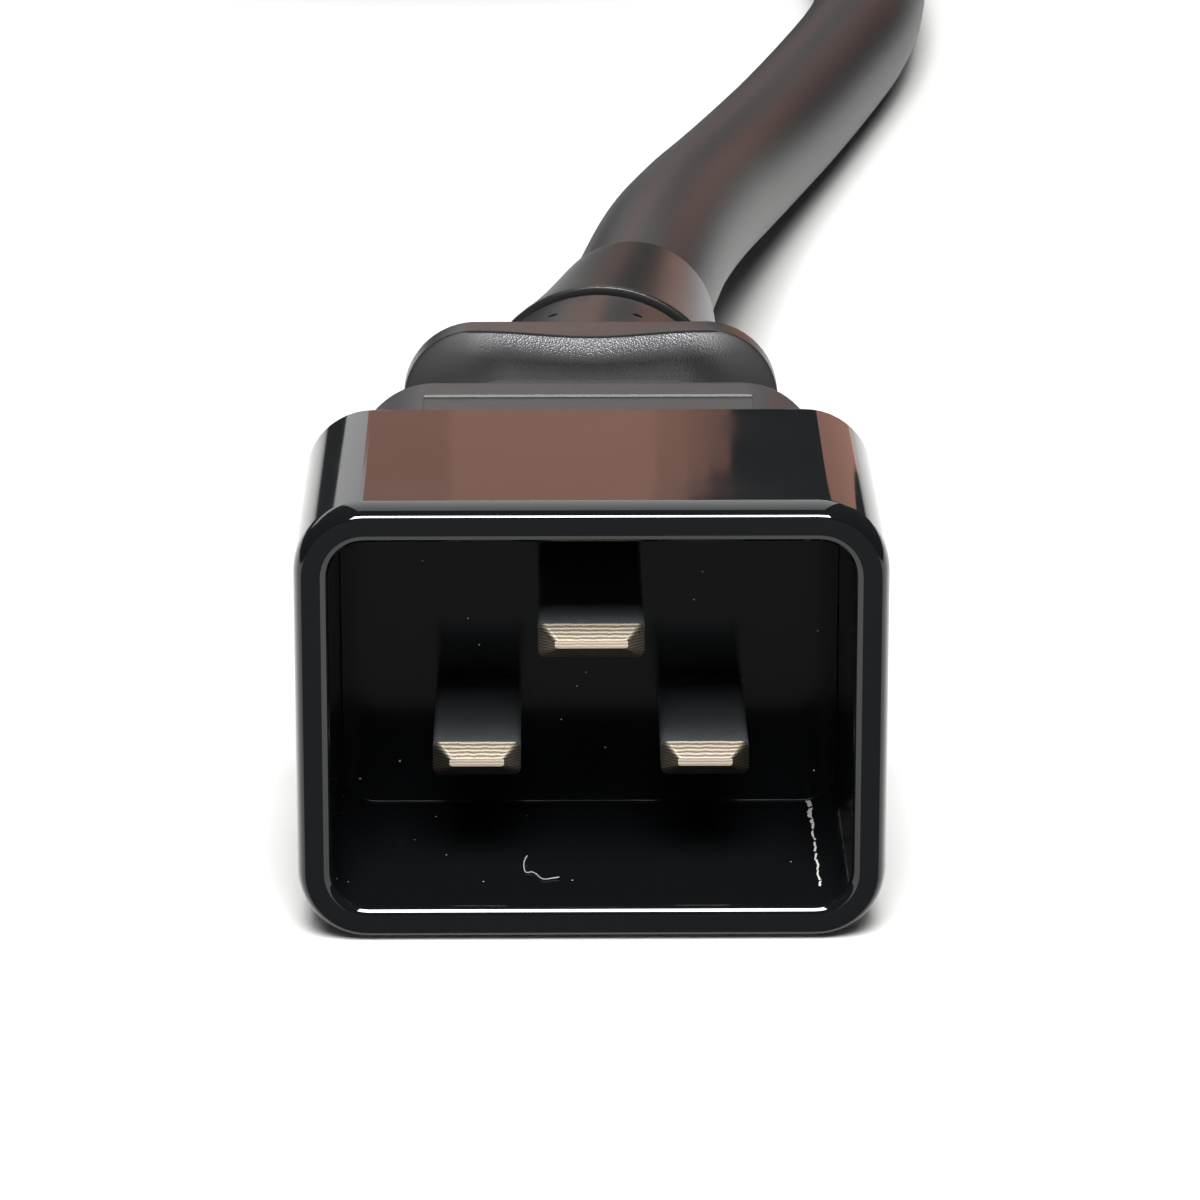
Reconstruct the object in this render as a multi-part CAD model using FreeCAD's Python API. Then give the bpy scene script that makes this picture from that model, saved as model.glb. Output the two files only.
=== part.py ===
"""Heavy duty power extension cord: a male plug, a round cord in a tied hank, and a female connector.

Millimetres, +Z up. The plug lies on the flat underside of its shroud with its pins towards -Y and its cord
towards +Y. The origin is under the middle of the plug. Each end is first modelled about its own axis, with Y
counted back from its front plane, and is then moved to its place.
"""
import math
import os

import FreeCAD
import Part
from FreeCAD import Vector

# Plug shroud: a hard moulded box, open at the front, with a rolled rim
SHROUD_WIDTH = 33.2
SHROUD_HEIGHT = 25.3
SHROUD_WALL = 2.0
SHROUD_FLOOR = 3.0
SHROUD_CORNER = 4.0
SHROUD_BACK_ROLL = 0.4
CAVITY_DEPTH = 18.7
CAVITY_CORNER = 2.2
RIM_INNER_ROLL = 0.75
RIM_FLAT = 0.15

# Flat pins: line and neutral side by side below, earth above
PIN_THICKNESS = 2.0
LINE_PIN_WIDTH = 5.0
EARTH_PIN_WIDTH = 6.0
LINE_PITCH = 13.0
EARTH_OFFSET = 8.0
LINE_PIN_RECESS = 5.9
EARTH_PIN_RECESS = 2.7
TIP_LENGTH = 0.85
TIP_SIDE_INSET = 0.95
TIP_FACE_INSET = 0.77
PIN_SHANK = 3.6

# Crimp barrels, stranded conductors and their insulation
STRAND_DIAMETER = 2.4
BARREL_DIAMETER = 4.0
BARREL_LENGTH = 7.5
BARREL_FLOOR = 1.5
BARE_LENGTH = 1.0
CORE_DIAMETER = 3.9
CORE_GAP = 0.25
CORE_STRAIGHT = 1.0

# Cord
CORD_DIAMETER = 10.4

# Pocket for the crimps, in a spigot behind the shroud and behind the connector's nose
POCKET_SIDE_MARGIN = 1.25
POCKET_TOP_MARGIN = 0.75
POCKET_CORNER = 2.0
SPIGOT_WALL = 2.0
SPIGOT_LENGTH = 5.1
SPIGOT_CORNER = 3.0

# Inner mould: the block that fills the pocket and holds the splayed cores up to the cord's jacket
MOULD_REAR_SIDE = 1.8
MOULD_REAR_TOP = 1.1

# Soft moulded grip: a neck set in from the shroud, a finger waist over the inner mould, and a flared end
NECK_SIDE_STEP = 2.65
NECK_TOP_STEP = 0.9
NECK_CORNER = 4.65
NECK_LENGTH = 8.7
WAIST_SIDE_COVER = 3.4
WAIST_TOP_COVER = 3.05
WAIST_CORNER = 5.4
WAIST_AT = 14.2
FLARE_SIDE_STEP = 5.1
FLARE_TOP_STEP = 1.8
FLARE_CORNER = 4.6
DISH_LENGTH = 2.7
DISH_END_SLOPE = 58.0
FLARE_AT = 24.3
FLARE_LENGTH = 4.6
FLARE_ROLL = 1.0
PANEL_WIDTH = 19.6
PANEL_LENGTH = 6.4
PANEL_DEPTH = 0.2
NECK_TO_WAIST_SECTIONS = 10
DISH_SECTIONS = 7

# Bend relief: a boss, a groove and a tapered sleeve, given as walls over the cord
BOSS_BASE_WALL = 3.4
BOSS_END_WALL = 3.0
BOSS_LENGTH = 16.7
GROOVE_WALL = 1.9
GROOVE_WIDTH = 1.0
SLEEVE_BASE_WALL = 3.1
SLEEVE_END_WALL = 0.6
SLEEVE_LENGTH = 25.3
SLEEVE_SECTIONS = 4
VENT_DIAMETER = 0.7
VENT_DEPTH = 1.6
VENT_SPACING = 5.5
VENT_AT = 16.7

# Connector: a nose that fits the plug's cavity, with slots and spring contacts that take the pins
NOSE_CLEARANCE = 0.3
NOSE_END_GAP = 0.5
NOSE_EDGE_ROLL = 0.6
SLOT_CLEARANCE = 0.2
SLOT_WALL = 3.0
COLLAR_LENGTH = 6.0
COLLAR_ROLL = 0.75
CONTACT_SHEET = 0.6
CONTACT_PINCH = 0.2
CONTACT_LEAD_IN = 0.5
CONTACT_END_GAP = 0.5
CONTACT_PINCH_AT = 3.7
CHAMBER_GAP = 0.2

# Hank and tie: the turns lie side by side in lanes, and in layers on each other
HANK_LANES = 2
HANK_LAYERS = 2
HANK_LIFT = 1.0
HANK_SLACK = 0.3
HANK_INNER_RADIUS = 32.5
HANK_STRAIGHT = 86.0
HANK_EDGE = 5.0
HANK_ENTRY_X = 30.0
HANK_ENTRY_Y = 285.6
TAIL_STRAIGHT = 7.4
TIE_WIDTH = 20.0
TIE_THICKNESS = 1.0
BEND_SHARE = 0.45

# What follows from the sizes above
AXIS_HEIGHT = SHROUD_HEIGHT / 2
SHROUD_LENGTH = CAVITY_DEPTH + SHROUD_FLOOR
CAVITY_WIDTH = SHROUD_WIDTH - 2 * SHROUD_WALL
CAVITY_HEIGHT = SHROUD_HEIGHT - 2 * SHROUD_WALL
RIM_OUTER_ROLL = SHROUD_WALL - RIM_FLAT - RIM_INNER_ROLL
POCKET_WIDTH = LINE_PITCH + BARREL_DIAMETER + 2 * POCKET_SIDE_MARGIN
POCKET_HEIGHT = EARTH_OFFSET + BARREL_DIAMETER + 2 * POCKET_TOP_MARGIN
CORD_RADIUS = CORD_DIAMETER / 2
MOULD_REAR_WIDTH = CORD_DIAMETER + 2 * MOULD_REAR_SIDE
MOULD_REAR_HEIGHT = CORD_DIAMETER + 2 * MOULD_REAR_TOP
GRIP_LENGTH = FLARE_AT + FLARE_LENGTH
RELIEF_LENGTH = BOSS_LENGTH + GROOVE_WIDTH + SLEEVE_LENGTH
JACKET_IN_GRIP = FLARE_LENGTH + RELIEF_LENGTH
NOSE_LENGTH = CAVITY_DEPTH - NOSE_END_GAP
PIN_REACH = NOSE_LENGTH - min(LINE_PIN_RECESS, EARTH_PIN_RECESS)
CONTACT_LENGTH = PIN_REACH + CONTACT_END_GAP + CONTACT_SHEET - SLOT_WALL
CONTACT_MOUTH = PIN_THICKNESS + 2 * CONTACT_LEAD_IN
CHAMBER_HEIGHT = CONTACT_MOUTH + 2 * CONTACT_SHEET + 2 * CHAMBER_GAP
CRIMP_AFTER_FRONT = PIN_SHANK - BARREL_FLOOR
CORE_AFTER_FRONT = CRIMP_AFTER_FRONT + BARREL_LENGTH + BARE_LENGTH
CORE_BEND_AFTER_FRONT = CORE_AFTER_FRONT + CORE_STRAIGHT
HANK_OUTER_RADIUS = HANK_INNER_RADIUS + (HANK_LANES - 0.5) * CORD_DIAMETER + HANK_SLACK
HANK_HOLE_RADIUS = HANK_INNER_RADIUS - CORD_RADIUS - HANK_SLACK
HANK_HEIGHT = HANK_LAYERS * CORD_DIAMETER + HANK_SLACK
PIN_PLACES = {
    "earth": (0.0, EARTH_OFFSET / 2, EARTH_PIN_WIDTH, EARTH_PIN_RECESS),
    "line": (-LINE_PITCH / 2, -EARTH_OFFSET / 2, LINE_PIN_WIDTH, LINE_PIN_RECESS),
    "neutral": (LINE_PITCH / 2, -EARTH_OFFSET / 2, LINE_PIN_WIDTH, LINE_PIN_RECESS),
}
# The connector meets the plug face to face, so its line and neutral change sides
PLUG_SIDES = {"earth": "earth", "line": "line", "neutral": "neutral"}
CONNECTOR_SIDES = {"earth": "earth", "line": "neutral", "neutral": "line"}
CORE_SPREAD = (CORE_DIAMETER + CORE_GAP) / math.sqrt(3)
CORE_ANGLES = {"earth": 90.0, "line": 210.0, "neutral": 330.0}

# The cord's free route from the jacket's end inside the plug to the hank: X, then Y counted from that end,
# then the height of the cord's middle above the floor
CORD_ROUTE = [
    (0.0, 0.0, AXIS_HEIGHT),
    (0.0, 10.0, AXIS_HEIGHT),
    (2.2, 31.5, AXIS_HEIGHT),
    (4.4, 56.0, AXIS_HEIGHT),
    (7.5, 84.0, CORD_RADIUS + 5.5),
    (12.5, 118.0, CORD_RADIUS + 1.5),
    (20.5, 155.0, CORD_RADIUS + 0.2),
    (29.4, 197.0, CORD_RADIUS + 0.2),
    (HANK_ENTRY_X, 245.6, CORD_RADIUS + HANK_LIFT),
    (HANK_ENTRY_X, HANK_ENTRY_Y, CORD_RADIUS + HANK_LIFT),
]

# Two places nearer than this are the same place
SAME = 1e-3


def rounded_outline(width, height, corner, y):
    """A rounded rectangle across the axis, centred on it."""
    corners = []
    for turn, side_x, side_z in ((0, 1, 1), (90, -1, 1), (180, -1, -1), (270, 1, -1)):
        middle = Vector(side_x * (width / 2 - corner), y, side_z * (height / 2 - corner))
        angles = [math.radians(turn + step) for step in (0, 45, 90)]
        corners.append([middle + Vector(math.cos(a), 0, math.sin(a)) * corner for a in angles])
    edges = []
    for this, following in zip(corners, corners[1:] + corners[:1]):
        edges.append(Part.Arc(*this).toShape())
        edges.append(Part.LineSegment(this[-1], following[0]).toShape())
    return Part.Wire(edges)


def rounded_block(width, height, corner, y_from, y_to):
    face = Part.Face(rounded_outline(width, height, corner, y_from))
    return face.extrude(Vector(0, y_to - y_from, 0))


def box_about_axis(width, height, y_from, y_to, x=0.0, z=0.0):
    """A box across the axis, centred at x and z."""
    corner = Vector(x - width / 2, y_from, z - height / 2)
    return Part.makeBox(width, y_to - y_from, height, corner)


def bar_along_axis(diameter, y_from, y_to, x, z):
    return Part.makeCylinder(diameter / 2, y_to - y_from, Vector(x, y_from, z), Vector(0, 1, 0))


def rolled(shape, y, radius, reach=math.inf):
    """Rounds the edges in the plane across the axis at y, or those of them within this reach of the axis."""
    edges = []
    for edge in shape.Edges:
        box = edge.BoundBox
        in_plane = abs(box.YMin - y) < SAME and abs(box.YMax - y) < SAME
        if in_plane and max(-box.XMin, box.XMax) < reach + SAME:
            edges.append(edge)
    return shape.makeFillet(radius, edges)


def crimp_pocket(front):
    return rounded_block(POCKET_WIDTH, POCKET_HEIGHT, POCKET_CORNER, front, front + SPIGOT_LENGTH)


def spigot(front):
    """The hollow tongue that keys a hard front piece into the grip."""
    width = POCKET_WIDTH + 2 * SPIGOT_WALL
    height = POCKET_HEIGHT + 2 * SPIGOT_WALL
    return rounded_block(width, height, SPIGOT_CORNER, front, front + SPIGOT_LENGTH).cut(crimp_pocket(front))


def plug_shroud(pins):
    """The box with its rolled rim and its floor, moulded round the pins."""
    block = rounded_block(SHROUD_WIDTH, SHROUD_HEIGHT, SHROUD_CORNER, 0, SHROUD_LENGTH)
    block = rolled(block, 0, RIM_OUTER_ROLL)
    block = rolled(block, SHROUD_LENGTH, SHROUD_BACK_ROLL)
    cavity = rounded_block(CAVITY_WIDTH, CAVITY_HEIGHT, CAVITY_CORNER, 0, CAVITY_DEPTH)
    shell = rolled(block.cut(cavity), 0, RIM_INNER_ROLL, CAVITY_WIDTH / 2)
    return shell.fuse(spigot(SHROUD_LENGTH)).removeSplitter().cut(Part.makeCompound(pins))


def crimp_barrel(x, z, y_from):
    """A tube, closed at its front, that is crimped on the strands."""
    tube = bar_along_axis(BARREL_DIAMETER, y_from, y_from + BARREL_LENGTH, x, z)
    bore = bar_along_axis(STRAND_DIAMETER, y_from + BARREL_FLOOR, y_from + BARREL_LENGTH, x, z)
    return tube.cut(bore)


def blade_outline(x, z, width, thickness, y):
    half_w = width / 2
    half_t = thickness / 2
    sides = ((-1, -1), (1, -1), (1, 1), (-1, 1), (-1, -1))
    return Part.makePolygon([Vector(x + a * half_w, y, z + b * half_t) for a, b in sides])


def plug_pin(name):
    """A flat pin with a tapered tip, through the shroud's floor, with its crimp barrel behind."""
    x, z, width, recess = PIN_PLACES[name]
    shank_end = SHROUD_LENGTH + PIN_SHANK
    blade = box_about_axis(width, PIN_THICKNESS, recess + TIP_LENGTH, shank_end, x, z)
    end_face = blade_outline(x, z, width - 2 * TIP_SIDE_INSET, PIN_THICKNESS - 2 * TIP_FACE_INSET, recess)
    full_face = blade_outline(x, z, width, PIN_THICKNESS, recess + TIP_LENGTH)
    tip = Part.makeLoft([end_face, full_face], True, True)
    barrel = crimp_barrel(x, z, SHROUD_LENGTH + CRIMP_AFTER_FRONT)
    return blade.fuse([tip, barrel]).removeSplitter()


def core_path(name, y_from, bend_from, y_to):
    """From a crimp barrel to the cord's bundle of cores: straight, two equal arcs, straight."""
    x, z = PIN_PLACES[name][:2]
    angle = math.radians(CORE_ANGLES[name])
    start = Vector(x, y_from, z)
    bend_start = Vector(x, bend_from, z)
    end = Vector(CORE_SPREAD * math.cos(angle), y_to, CORE_SPREAD * math.sin(angle))
    bend_end = end - Vector(0, CORE_STRAIGHT, 0)
    shift = Vector(end.x - x, 0, end.z - z)
    run = bend_end.y - bend_start.y
    radius = (run ** 2 + shift.Length ** 2) / (4 * shift.Length)
    half_bend = math.asin(run / 2 / radius) / 2
    sideways = shift.normalize() * (radius * (1 - math.cos(half_bend)))
    step = sideways + Vector(0, radius * math.sin(half_bend), 0)
    middle = (bend_start + bend_end) * 0.5
    return Part.Wire([
        Part.LineSegment(start, bend_start).toShape(),
        Part.Arc(bend_start, bend_start + step, middle).toShape(),
        Part.Arc(middle, bend_end - step, bend_end).toShape(),
        Part.LineSegment(bend_end, end).toShape(),
    ])


def pipe(path, diameter):
    """A round bar along a path."""
    first = path.OrderedEdges[0]
    start = first.valueAt(first.FirstParameter)
    ring = Part.Wire(Part.makeCircle(diameter / 2, start, first.tangentAt(first.FirstParameter)))
    bar = path.makePipeShell([ring], True, True)
    return Part.Solid(bar) if bar.ShapeType == "Shell" else bar


def strands_and_core(name, front, jacket_end):
    """The bare strands in their crimp, and the insulation that starts just behind it."""
    bend_from = front + CORE_BEND_AFTER_FRONT
    bore_floor = front + CRIMP_AFTER_FRONT + BARREL_FLOOR
    strands = pipe(core_path(name, bore_floor, bend_from, jacket_end), STRAND_DIAMETER)
    covered = core_path(name, front + CORE_AFTER_FRONT, bend_from, jacket_end)
    core = pipe(covered, CORE_DIAMETER).cut(pipe(covered, STRAND_DIAMETER))
    return strands, core


def inner_mould(front, jacket_end):
    """The block inside the grip, before the crimps and cores that it is moulded round are taken out of it."""
    straight_end = front + CORE_BEND_AFTER_FRONT
    straight = rounded_block(POCKET_WIDTH, POCKET_HEIGHT, POCKET_CORNER, front, straight_end)
    tail = Part.makeLoft([
        rounded_outline(POCKET_WIDTH, POCKET_HEIGHT, POCKET_CORNER, straight_end),
        rounded_outline(MOULD_REAR_WIDTH, MOULD_REAR_HEIGHT, POCKET_CORNER, jacket_end),
    ], True, True)
    return straight.fuse(tail).removeSplitter()


def between(first, last, share):
    """A section that is this share of the way from one to the other."""
    return [a + (b - a) * share for a, b in zip(first, last)]


def level_at_both_ends(share):
    """A smooth step from 0 to 1 whose slope and bend are nothing at each end."""
    return share ** 3 * (10 - 15 * share + 6 * share ** 2)


def dish_level(share):
    """An arc from 0 to 1 that starts level and steepens to the dish's slope at its rim."""
    slope = math.radians(DISH_END_SLOPE)
    return (1 - math.sqrt(1 - (share * math.sin(slope)) ** 2)) / (1 - math.cos(slope))


def grip_body(front):
    """The neck, the finger waist and the flared end with its rolled rim, and the bare panel on the neck."""
    neck = (SHROUD_WIDTH - 2 * NECK_SIDE_STEP, SHROUD_HEIGHT - 2 * NECK_TOP_STEP, NECK_CORNER)
    waist = (MOULD_REAR_WIDTH + 2 * WAIST_SIDE_COVER, MOULD_REAR_HEIGHT + 2 * WAIST_TOP_COVER, WAIST_CORNER)
    flare = (SHROUD_WIDTH - 2 * FLARE_SIDE_STEP, SHROUD_HEIGHT - 2 * FLARE_TOP_STEP, FLARE_CORNER)
    sections = []
    for i in range(NECK_TO_WAIST_SECTIONS + 1):
        share = i / NECK_TO_WAIST_SECTIONS
        narrowed = between(neck, waist, level_at_both_ends(share))
        sections.append(rounded_outline(*narrowed, front + NECK_LENGTH + share * (WAIST_AT - NECK_LENGTH)))
    narrowing = Part.makeLoft(sections, True, False)
    dish_from = front + FLARE_AT - DISH_LENGTH
    sections = []
    for i in range(DISH_SECTIONS + 1):
        share = i / DISH_SECTIONS
        widened = between(waist, flare, dish_level(share))
        sections.append(rounded_outline(*widened, dish_from + share * DISH_LENGTH))
    dish = Part.makeLoft(sections, True, False)
    straight = rounded_block(*neck, front, front + NECK_LENGTH)
    middle = rounded_block(*waist, front + WAIST_AT, dish_from)
    rear = front + GRIP_LENGTH
    rim = rolled(rounded_block(*flare, front + FLARE_AT, rear), rear, FLARE_ROLL)
    above_panel = SHROUD_HEIGHT / 2 - neck[1] / 2 + PANEL_DEPTH
    panel_middle = neck[1] / 2 - PANEL_DEPTH + above_panel / 2
    panel = box_about_axis(PANEL_WIDTH, above_panel, front, front + PANEL_LENGTH, 0, panel_middle)
    return straight.fuse([narrowing, middle, dish, rim]).cut(panel)


def along(path, distance):
    """The place and direction at this distance along a path."""
    left = distance
    for edge in path.OrderedEdges:
        if left <= edge.Length + SAME:
            parameter = edge.getParameterByLength(min(left, edge.Length))
            return edge.valueAt(parameter), edge.tangentAt(parameter)
        left -= edge.Length
    raise ValueError("the path is shorter than the bend relief")


def bend_relief(path):
    """The boss, its groove and the tapered sleeve, bent as the cord is, from the jacket's end on."""
    def ring(distance, wall):
        place, direction = along(path, distance)
        return Part.Wire(Part.makeCircle(CORD_RADIUS + wall, place, direction))

    boss_from = FLARE_LENGTH - FLARE_ROLL
    groove_from = FLARE_LENGTH + BOSS_LENGTH
    sleeve_from = groove_from + GROOVE_WIDTH
    boss = Part.makeLoft([ring(boss_from, BOSS_BASE_WALL), ring(groove_from, BOSS_END_WALL)], True, True)
    groove = Part.makeLoft([ring(groove_from, GROOVE_WALL), ring(sleeve_from, GROOVE_WALL)], True, True)
    sleeve_rings = []
    for i in range(SLEEVE_SECTIONS):
        share = i / (SLEEVE_SECTIONS - 1)
        wall = SLEEVE_BASE_WALL + share * (SLEEVE_END_WALL - SLEEVE_BASE_WALL)
        sleeve_rings.append(ring(sleeve_from + share * SLEEVE_LENGTH, wall))
    sleeve = Part.makeLoft(sleeve_rings, True, False)
    vent_floor = along(path, VENT_AT)[0] + Vector(0, 0, CORD_RADIUS + BOSS_BASE_WALL - VENT_DEPTH)
    vents = []
    for side in (-1, 1):
        at = vent_floor + Vector(side * VENT_SPACING / 2, 0, 0)
        vents.append(Part.makeCylinder(VENT_DIAMETER / 2, 2 * VENT_DEPTH, at))
    return boss.fuse([groove, sleeve]).cut(Part.makeCompound(vents))


def rounded_route(points):
    """Straight runs joined by tangent arcs, each as large as its two runs allow. Also returns the radii."""
    places = [Vector(*p) for p in points]
    edges = []
    radii = []
    at = places[0]
    for before, corner, after in zip(places, places[1:], places[2:]):
        run_in = corner - before
        run_out = after - corner
        turn = run_in.getAngle(run_out)
        reach = BEND_SHARE * min(run_in.Length, run_out.Length)
        radius = reach / math.tan(turn / 2)
        way_in = Vector(run_in).normalize()
        way_out = Vector(run_out).normalize()
        arc_start = corner - way_in * reach
        arc_end = corner + way_out * reach
        inward = (way_out - way_in).normalize()
        depth = radius * (1 / math.cos(turn / 2) - 1)
        edges.append(Part.LineSegment(at, arc_start).toShape())
        edges.append(Part.Arc(arc_start, corner + inward * depth, arc_end).toShape())
        radii.append(radius)
        at = arc_end
    edges.append(Part.LineSegment(at, places[-1]).toShape())
    return Part.Wire(edges), radii


def connector_nose(contacts):
    """A block that fits the plug's cavity, with a slot and a contact chamber for each pin."""
    width = CAVITY_WIDTH - 2 * NOSE_CLEARANCE
    height = CAVITY_HEIGHT - 2 * NOSE_CLEARANCE
    block = rounded_block(width, height, CAVITY_CORNER - NOSE_CLEARANCE, 0, NOSE_LENGTH)
    nose = rolled(block, 0, NOSE_EDGE_ROLL).fuse(spigot(NOSE_LENGTH)).removeSplitter()
    slot_height = PIN_THICKNESS + 2 * SLOT_CLEARANCE
    chamber_end = SLOT_WALL + CONTACT_LENGTH
    openings = []
    for x, z, pin_width, _ in PIN_PLACES.values():
        slot_width = pin_width + 2 * SLOT_CLEARANCE
        chamber_width = pin_width + 2 * CHAMBER_GAP
        openings.append(box_about_axis(slot_width, slot_height, 0, SLOT_WALL, x, z))
        openings.append(box_about_axis(chamber_width, CHAMBER_HEIGHT, SLOT_WALL, chamber_end, x, z))
    return nose.cut(Part.makeCompound(openings)).cut(Part.makeCompound(contacts))


def connector_contact(name):
    """A folded spring contact: two leaves that pinch the pin, a web, a stem and a crimp barrel."""
    x, z, width, _ = PIN_PLACES[name]
    mouth_at = SLOT_WALL + CHAMBER_GAP
    pinch_at = SLOT_WALL + CONTACT_PINCH_AT
    web_end = SLOT_WALL + CONTACT_LENGTH
    web_front = web_end - CONTACT_SHEET
    mouth = CONTACT_MOUTH / 2
    pinch = (PIN_THICKNESS - CONTACT_PINCH) / 2
    inner_side = [(mouth_at, mouth), (pinch_at, pinch), (web_front, mouth)]
    outer_side = [(y, height + CONTACT_SHEET) for y, height in reversed(inner_side)]
    leaves = []
    for side in (-1, 1):
        corners = [Vector(x - width / 2, y, z + side * height) for y, height in inner_side + outer_side]
        face = Part.Face(Part.makePolygon(corners + corners[:1]))
        leaves.append(face.extrude(Vector(width, 0, 0)))
    web = box_about_axis(width, CONTACT_MOUTH + 2 * CONTACT_SHEET, web_front, web_end, x, z)
    stem = bar_along_axis(BARREL_DIAMETER, web_front, NOSE_LENGTH + PIN_SHANK, x, z)
    barrel = crimp_barrel(x, z, NOSE_LENGTH + CRIMP_AFTER_FRONT)
    return web.fuse(leaves + [stem, barrel]).removeSplitter()


def stadium(centre, radius):
    """A block the height of the hank, with straight sides and round ends of this radius."""
    low = centre + Vector(0, -HANK_STRAIGHT / 2, HANK_LIFT)
    high = centre + Vector(0, HANK_STRAIGHT / 2, HANK_LIFT)
    side = Vector(radius, 0, 0)
    end = Vector(0, radius, 0)
    outline = Part.Wire([
        Part.LineSegment(low + side, high + side).toShape(),
        Part.Arc(high + side, high + end, high - side).toShape(),
        Part.LineSegment(high - side, low - side).toShape(),
        Part.Arc(low - side, low - end, low + side).toShape(),
    ])
    return Part.Face(outline).extrude(Vector(0, 0, HANK_HEIGHT))


def cord_hank(centre, entry, rise_end):
    """The outer shape of the hank's turns, with the last half turn that rises to the connector."""
    ring = stadium(centre, HANK_OUTER_RADIUS).cut(stadium(centre, HANK_HOLE_RADIUS))
    flat_edges = [e for e in ring.Edges if e.BoundBox.ZLength < SAME]
    ring = ring.makeFillet(HANK_EDGE, flat_edges)
    lane = CORD_DIAMETER + HANK_SLACK
    way_in = Vector(entry.x - lane / 2, centre.y - HANK_STRAIGHT / 2 - HANK_OUTER_RADIUS, 0)
    notch = Part.makeBox(2 * lane, entry.y - way_in.y, HANK_LIFT + lane, way_in)
    top_lane = HANK_LIFT + (HANK_LAYERS - 0.5) * CORD_DIAMETER
    rise_start = Vector(entry.x, centre.y, top_lane)
    fold_start = Vector(entry.x, centre.y + HANK_STRAIGHT / 2, top_lane)
    fold_end = Vector(rise_end.x, fold_start.y, rise_end.z)
    fold_middle = (fold_start + fold_end) * 0.5 + Vector(0, (fold_end - fold_start).Length / 2, 0)
    rise = pipe(Part.Wire([
        Part.LineSegment(rise_start, fold_start).toShape(),
        Part.Arc(fold_start, fold_middle, fold_end).toShape(),
        Part.LineSegment(fold_end, rise_end).toShape(),
    ]), CORD_DIAMETER)
    return ring.cut(notch).fuse(rise).removeSplitter()


def cord_tie(centre):
    """A strap round the turns on one side of the hank."""
    width = HANK_OUTER_RADIUS - HANK_HOLE_RADIUS
    outer_width = width + 2 * TIE_THICKNESS
    outer_height = HANK_HEIGHT + 2 * TIE_THICKNESS
    half = TIE_WIDTH / 2
    strap = rounded_block(outer_width, outer_height, HANK_EDGE + TIE_THICKNESS, -half, half)
    strap = strap.cut(rounded_block(width, HANK_HEIGHT, HANK_EDGE, -half, half))
    side_middle = (HANK_OUTER_RADIUS + HANK_HOLE_RADIUS) / 2
    return strap.translated(centre + Vector(side_middle, 0, HANK_LIFT + HANK_HEIGHT / 2))


def moulded_end(kind, sides, front, jacket_end, metal, hard_piece, outer, path):
    """What both ends share behind their hard front piece: the wires, the inner mould and the grip."""
    pieces = {}
    embedded = list(metal)
    for name, side in sides.items():
        strands, core = strands_and_core(side, front, jacket_end)
        pieces[f"{kind}_{name}_strands"] = strands
        pieces[f"{kind}_{name}_core"] = core
        embedded += [strands, core]
    mould = inner_mould(front, jacket_end)
    pieces[f"{kind}_inner_mould"] = mould.cut(Part.makeCompound(embedded))
    grip = outer.fuse(bend_relief(path)).removeSplitter()
    inside = Part.makeCompound([hard_piece, mould, pipe(path, CORD_DIAMETER)])
    pieces[f"{kind}_grip"] = grip.cut(inside)
    return pieces


def plug_parts(path):
    """The plug's pieces about its own axis. The path is the cord's, from the jacket's end."""
    pieces = {f"plug_{name}_pin": plug_pin(side) for name, side in PLUG_SIDES.items()}
    pins = list(pieces.values())
    shroud = plug_shroud(pins)
    pieces["plug_shroud"] = shroud
    jacket_end = SHROUD_LENGTH + FLARE_AT
    outer = grip_body(SHROUD_LENGTH)
    pieces.update(moulded_end("plug", PLUG_SIDES, SHROUD_LENGTH, jacket_end, pins, shroud, outer, path))
    return pieces


def connector_parts(path):
    """The connector's pieces about its own axis. Its grip has a collar that meets the plug's rim."""
    pieces = {f"connector_{name}_contact": connector_contact(side) for name, side in CONNECTOR_SIDES.items()}
    contacts = list(pieces.values())
    nose = connector_nose(contacts)
    pieces["connector_nose"] = nose
    collar_end = NOSE_LENGTH + COLLAR_LENGTH
    collar = rounded_block(SHROUD_WIDTH, SHROUD_HEIGHT, SHROUD_CORNER, NOSE_LENGTH, collar_end)
    outer = grip_body(collar_end).fuse(rolled(collar, collar_end, COLLAR_ROLL))
    jacket_end = collar_end + FLARE_AT
    rest = moulded_end("connector", CONNECTOR_SIDES, NOSE_LENGTH, jacket_end, contacts, nose, outer, path)
    pieces.update(rest)
    return pieces


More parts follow.
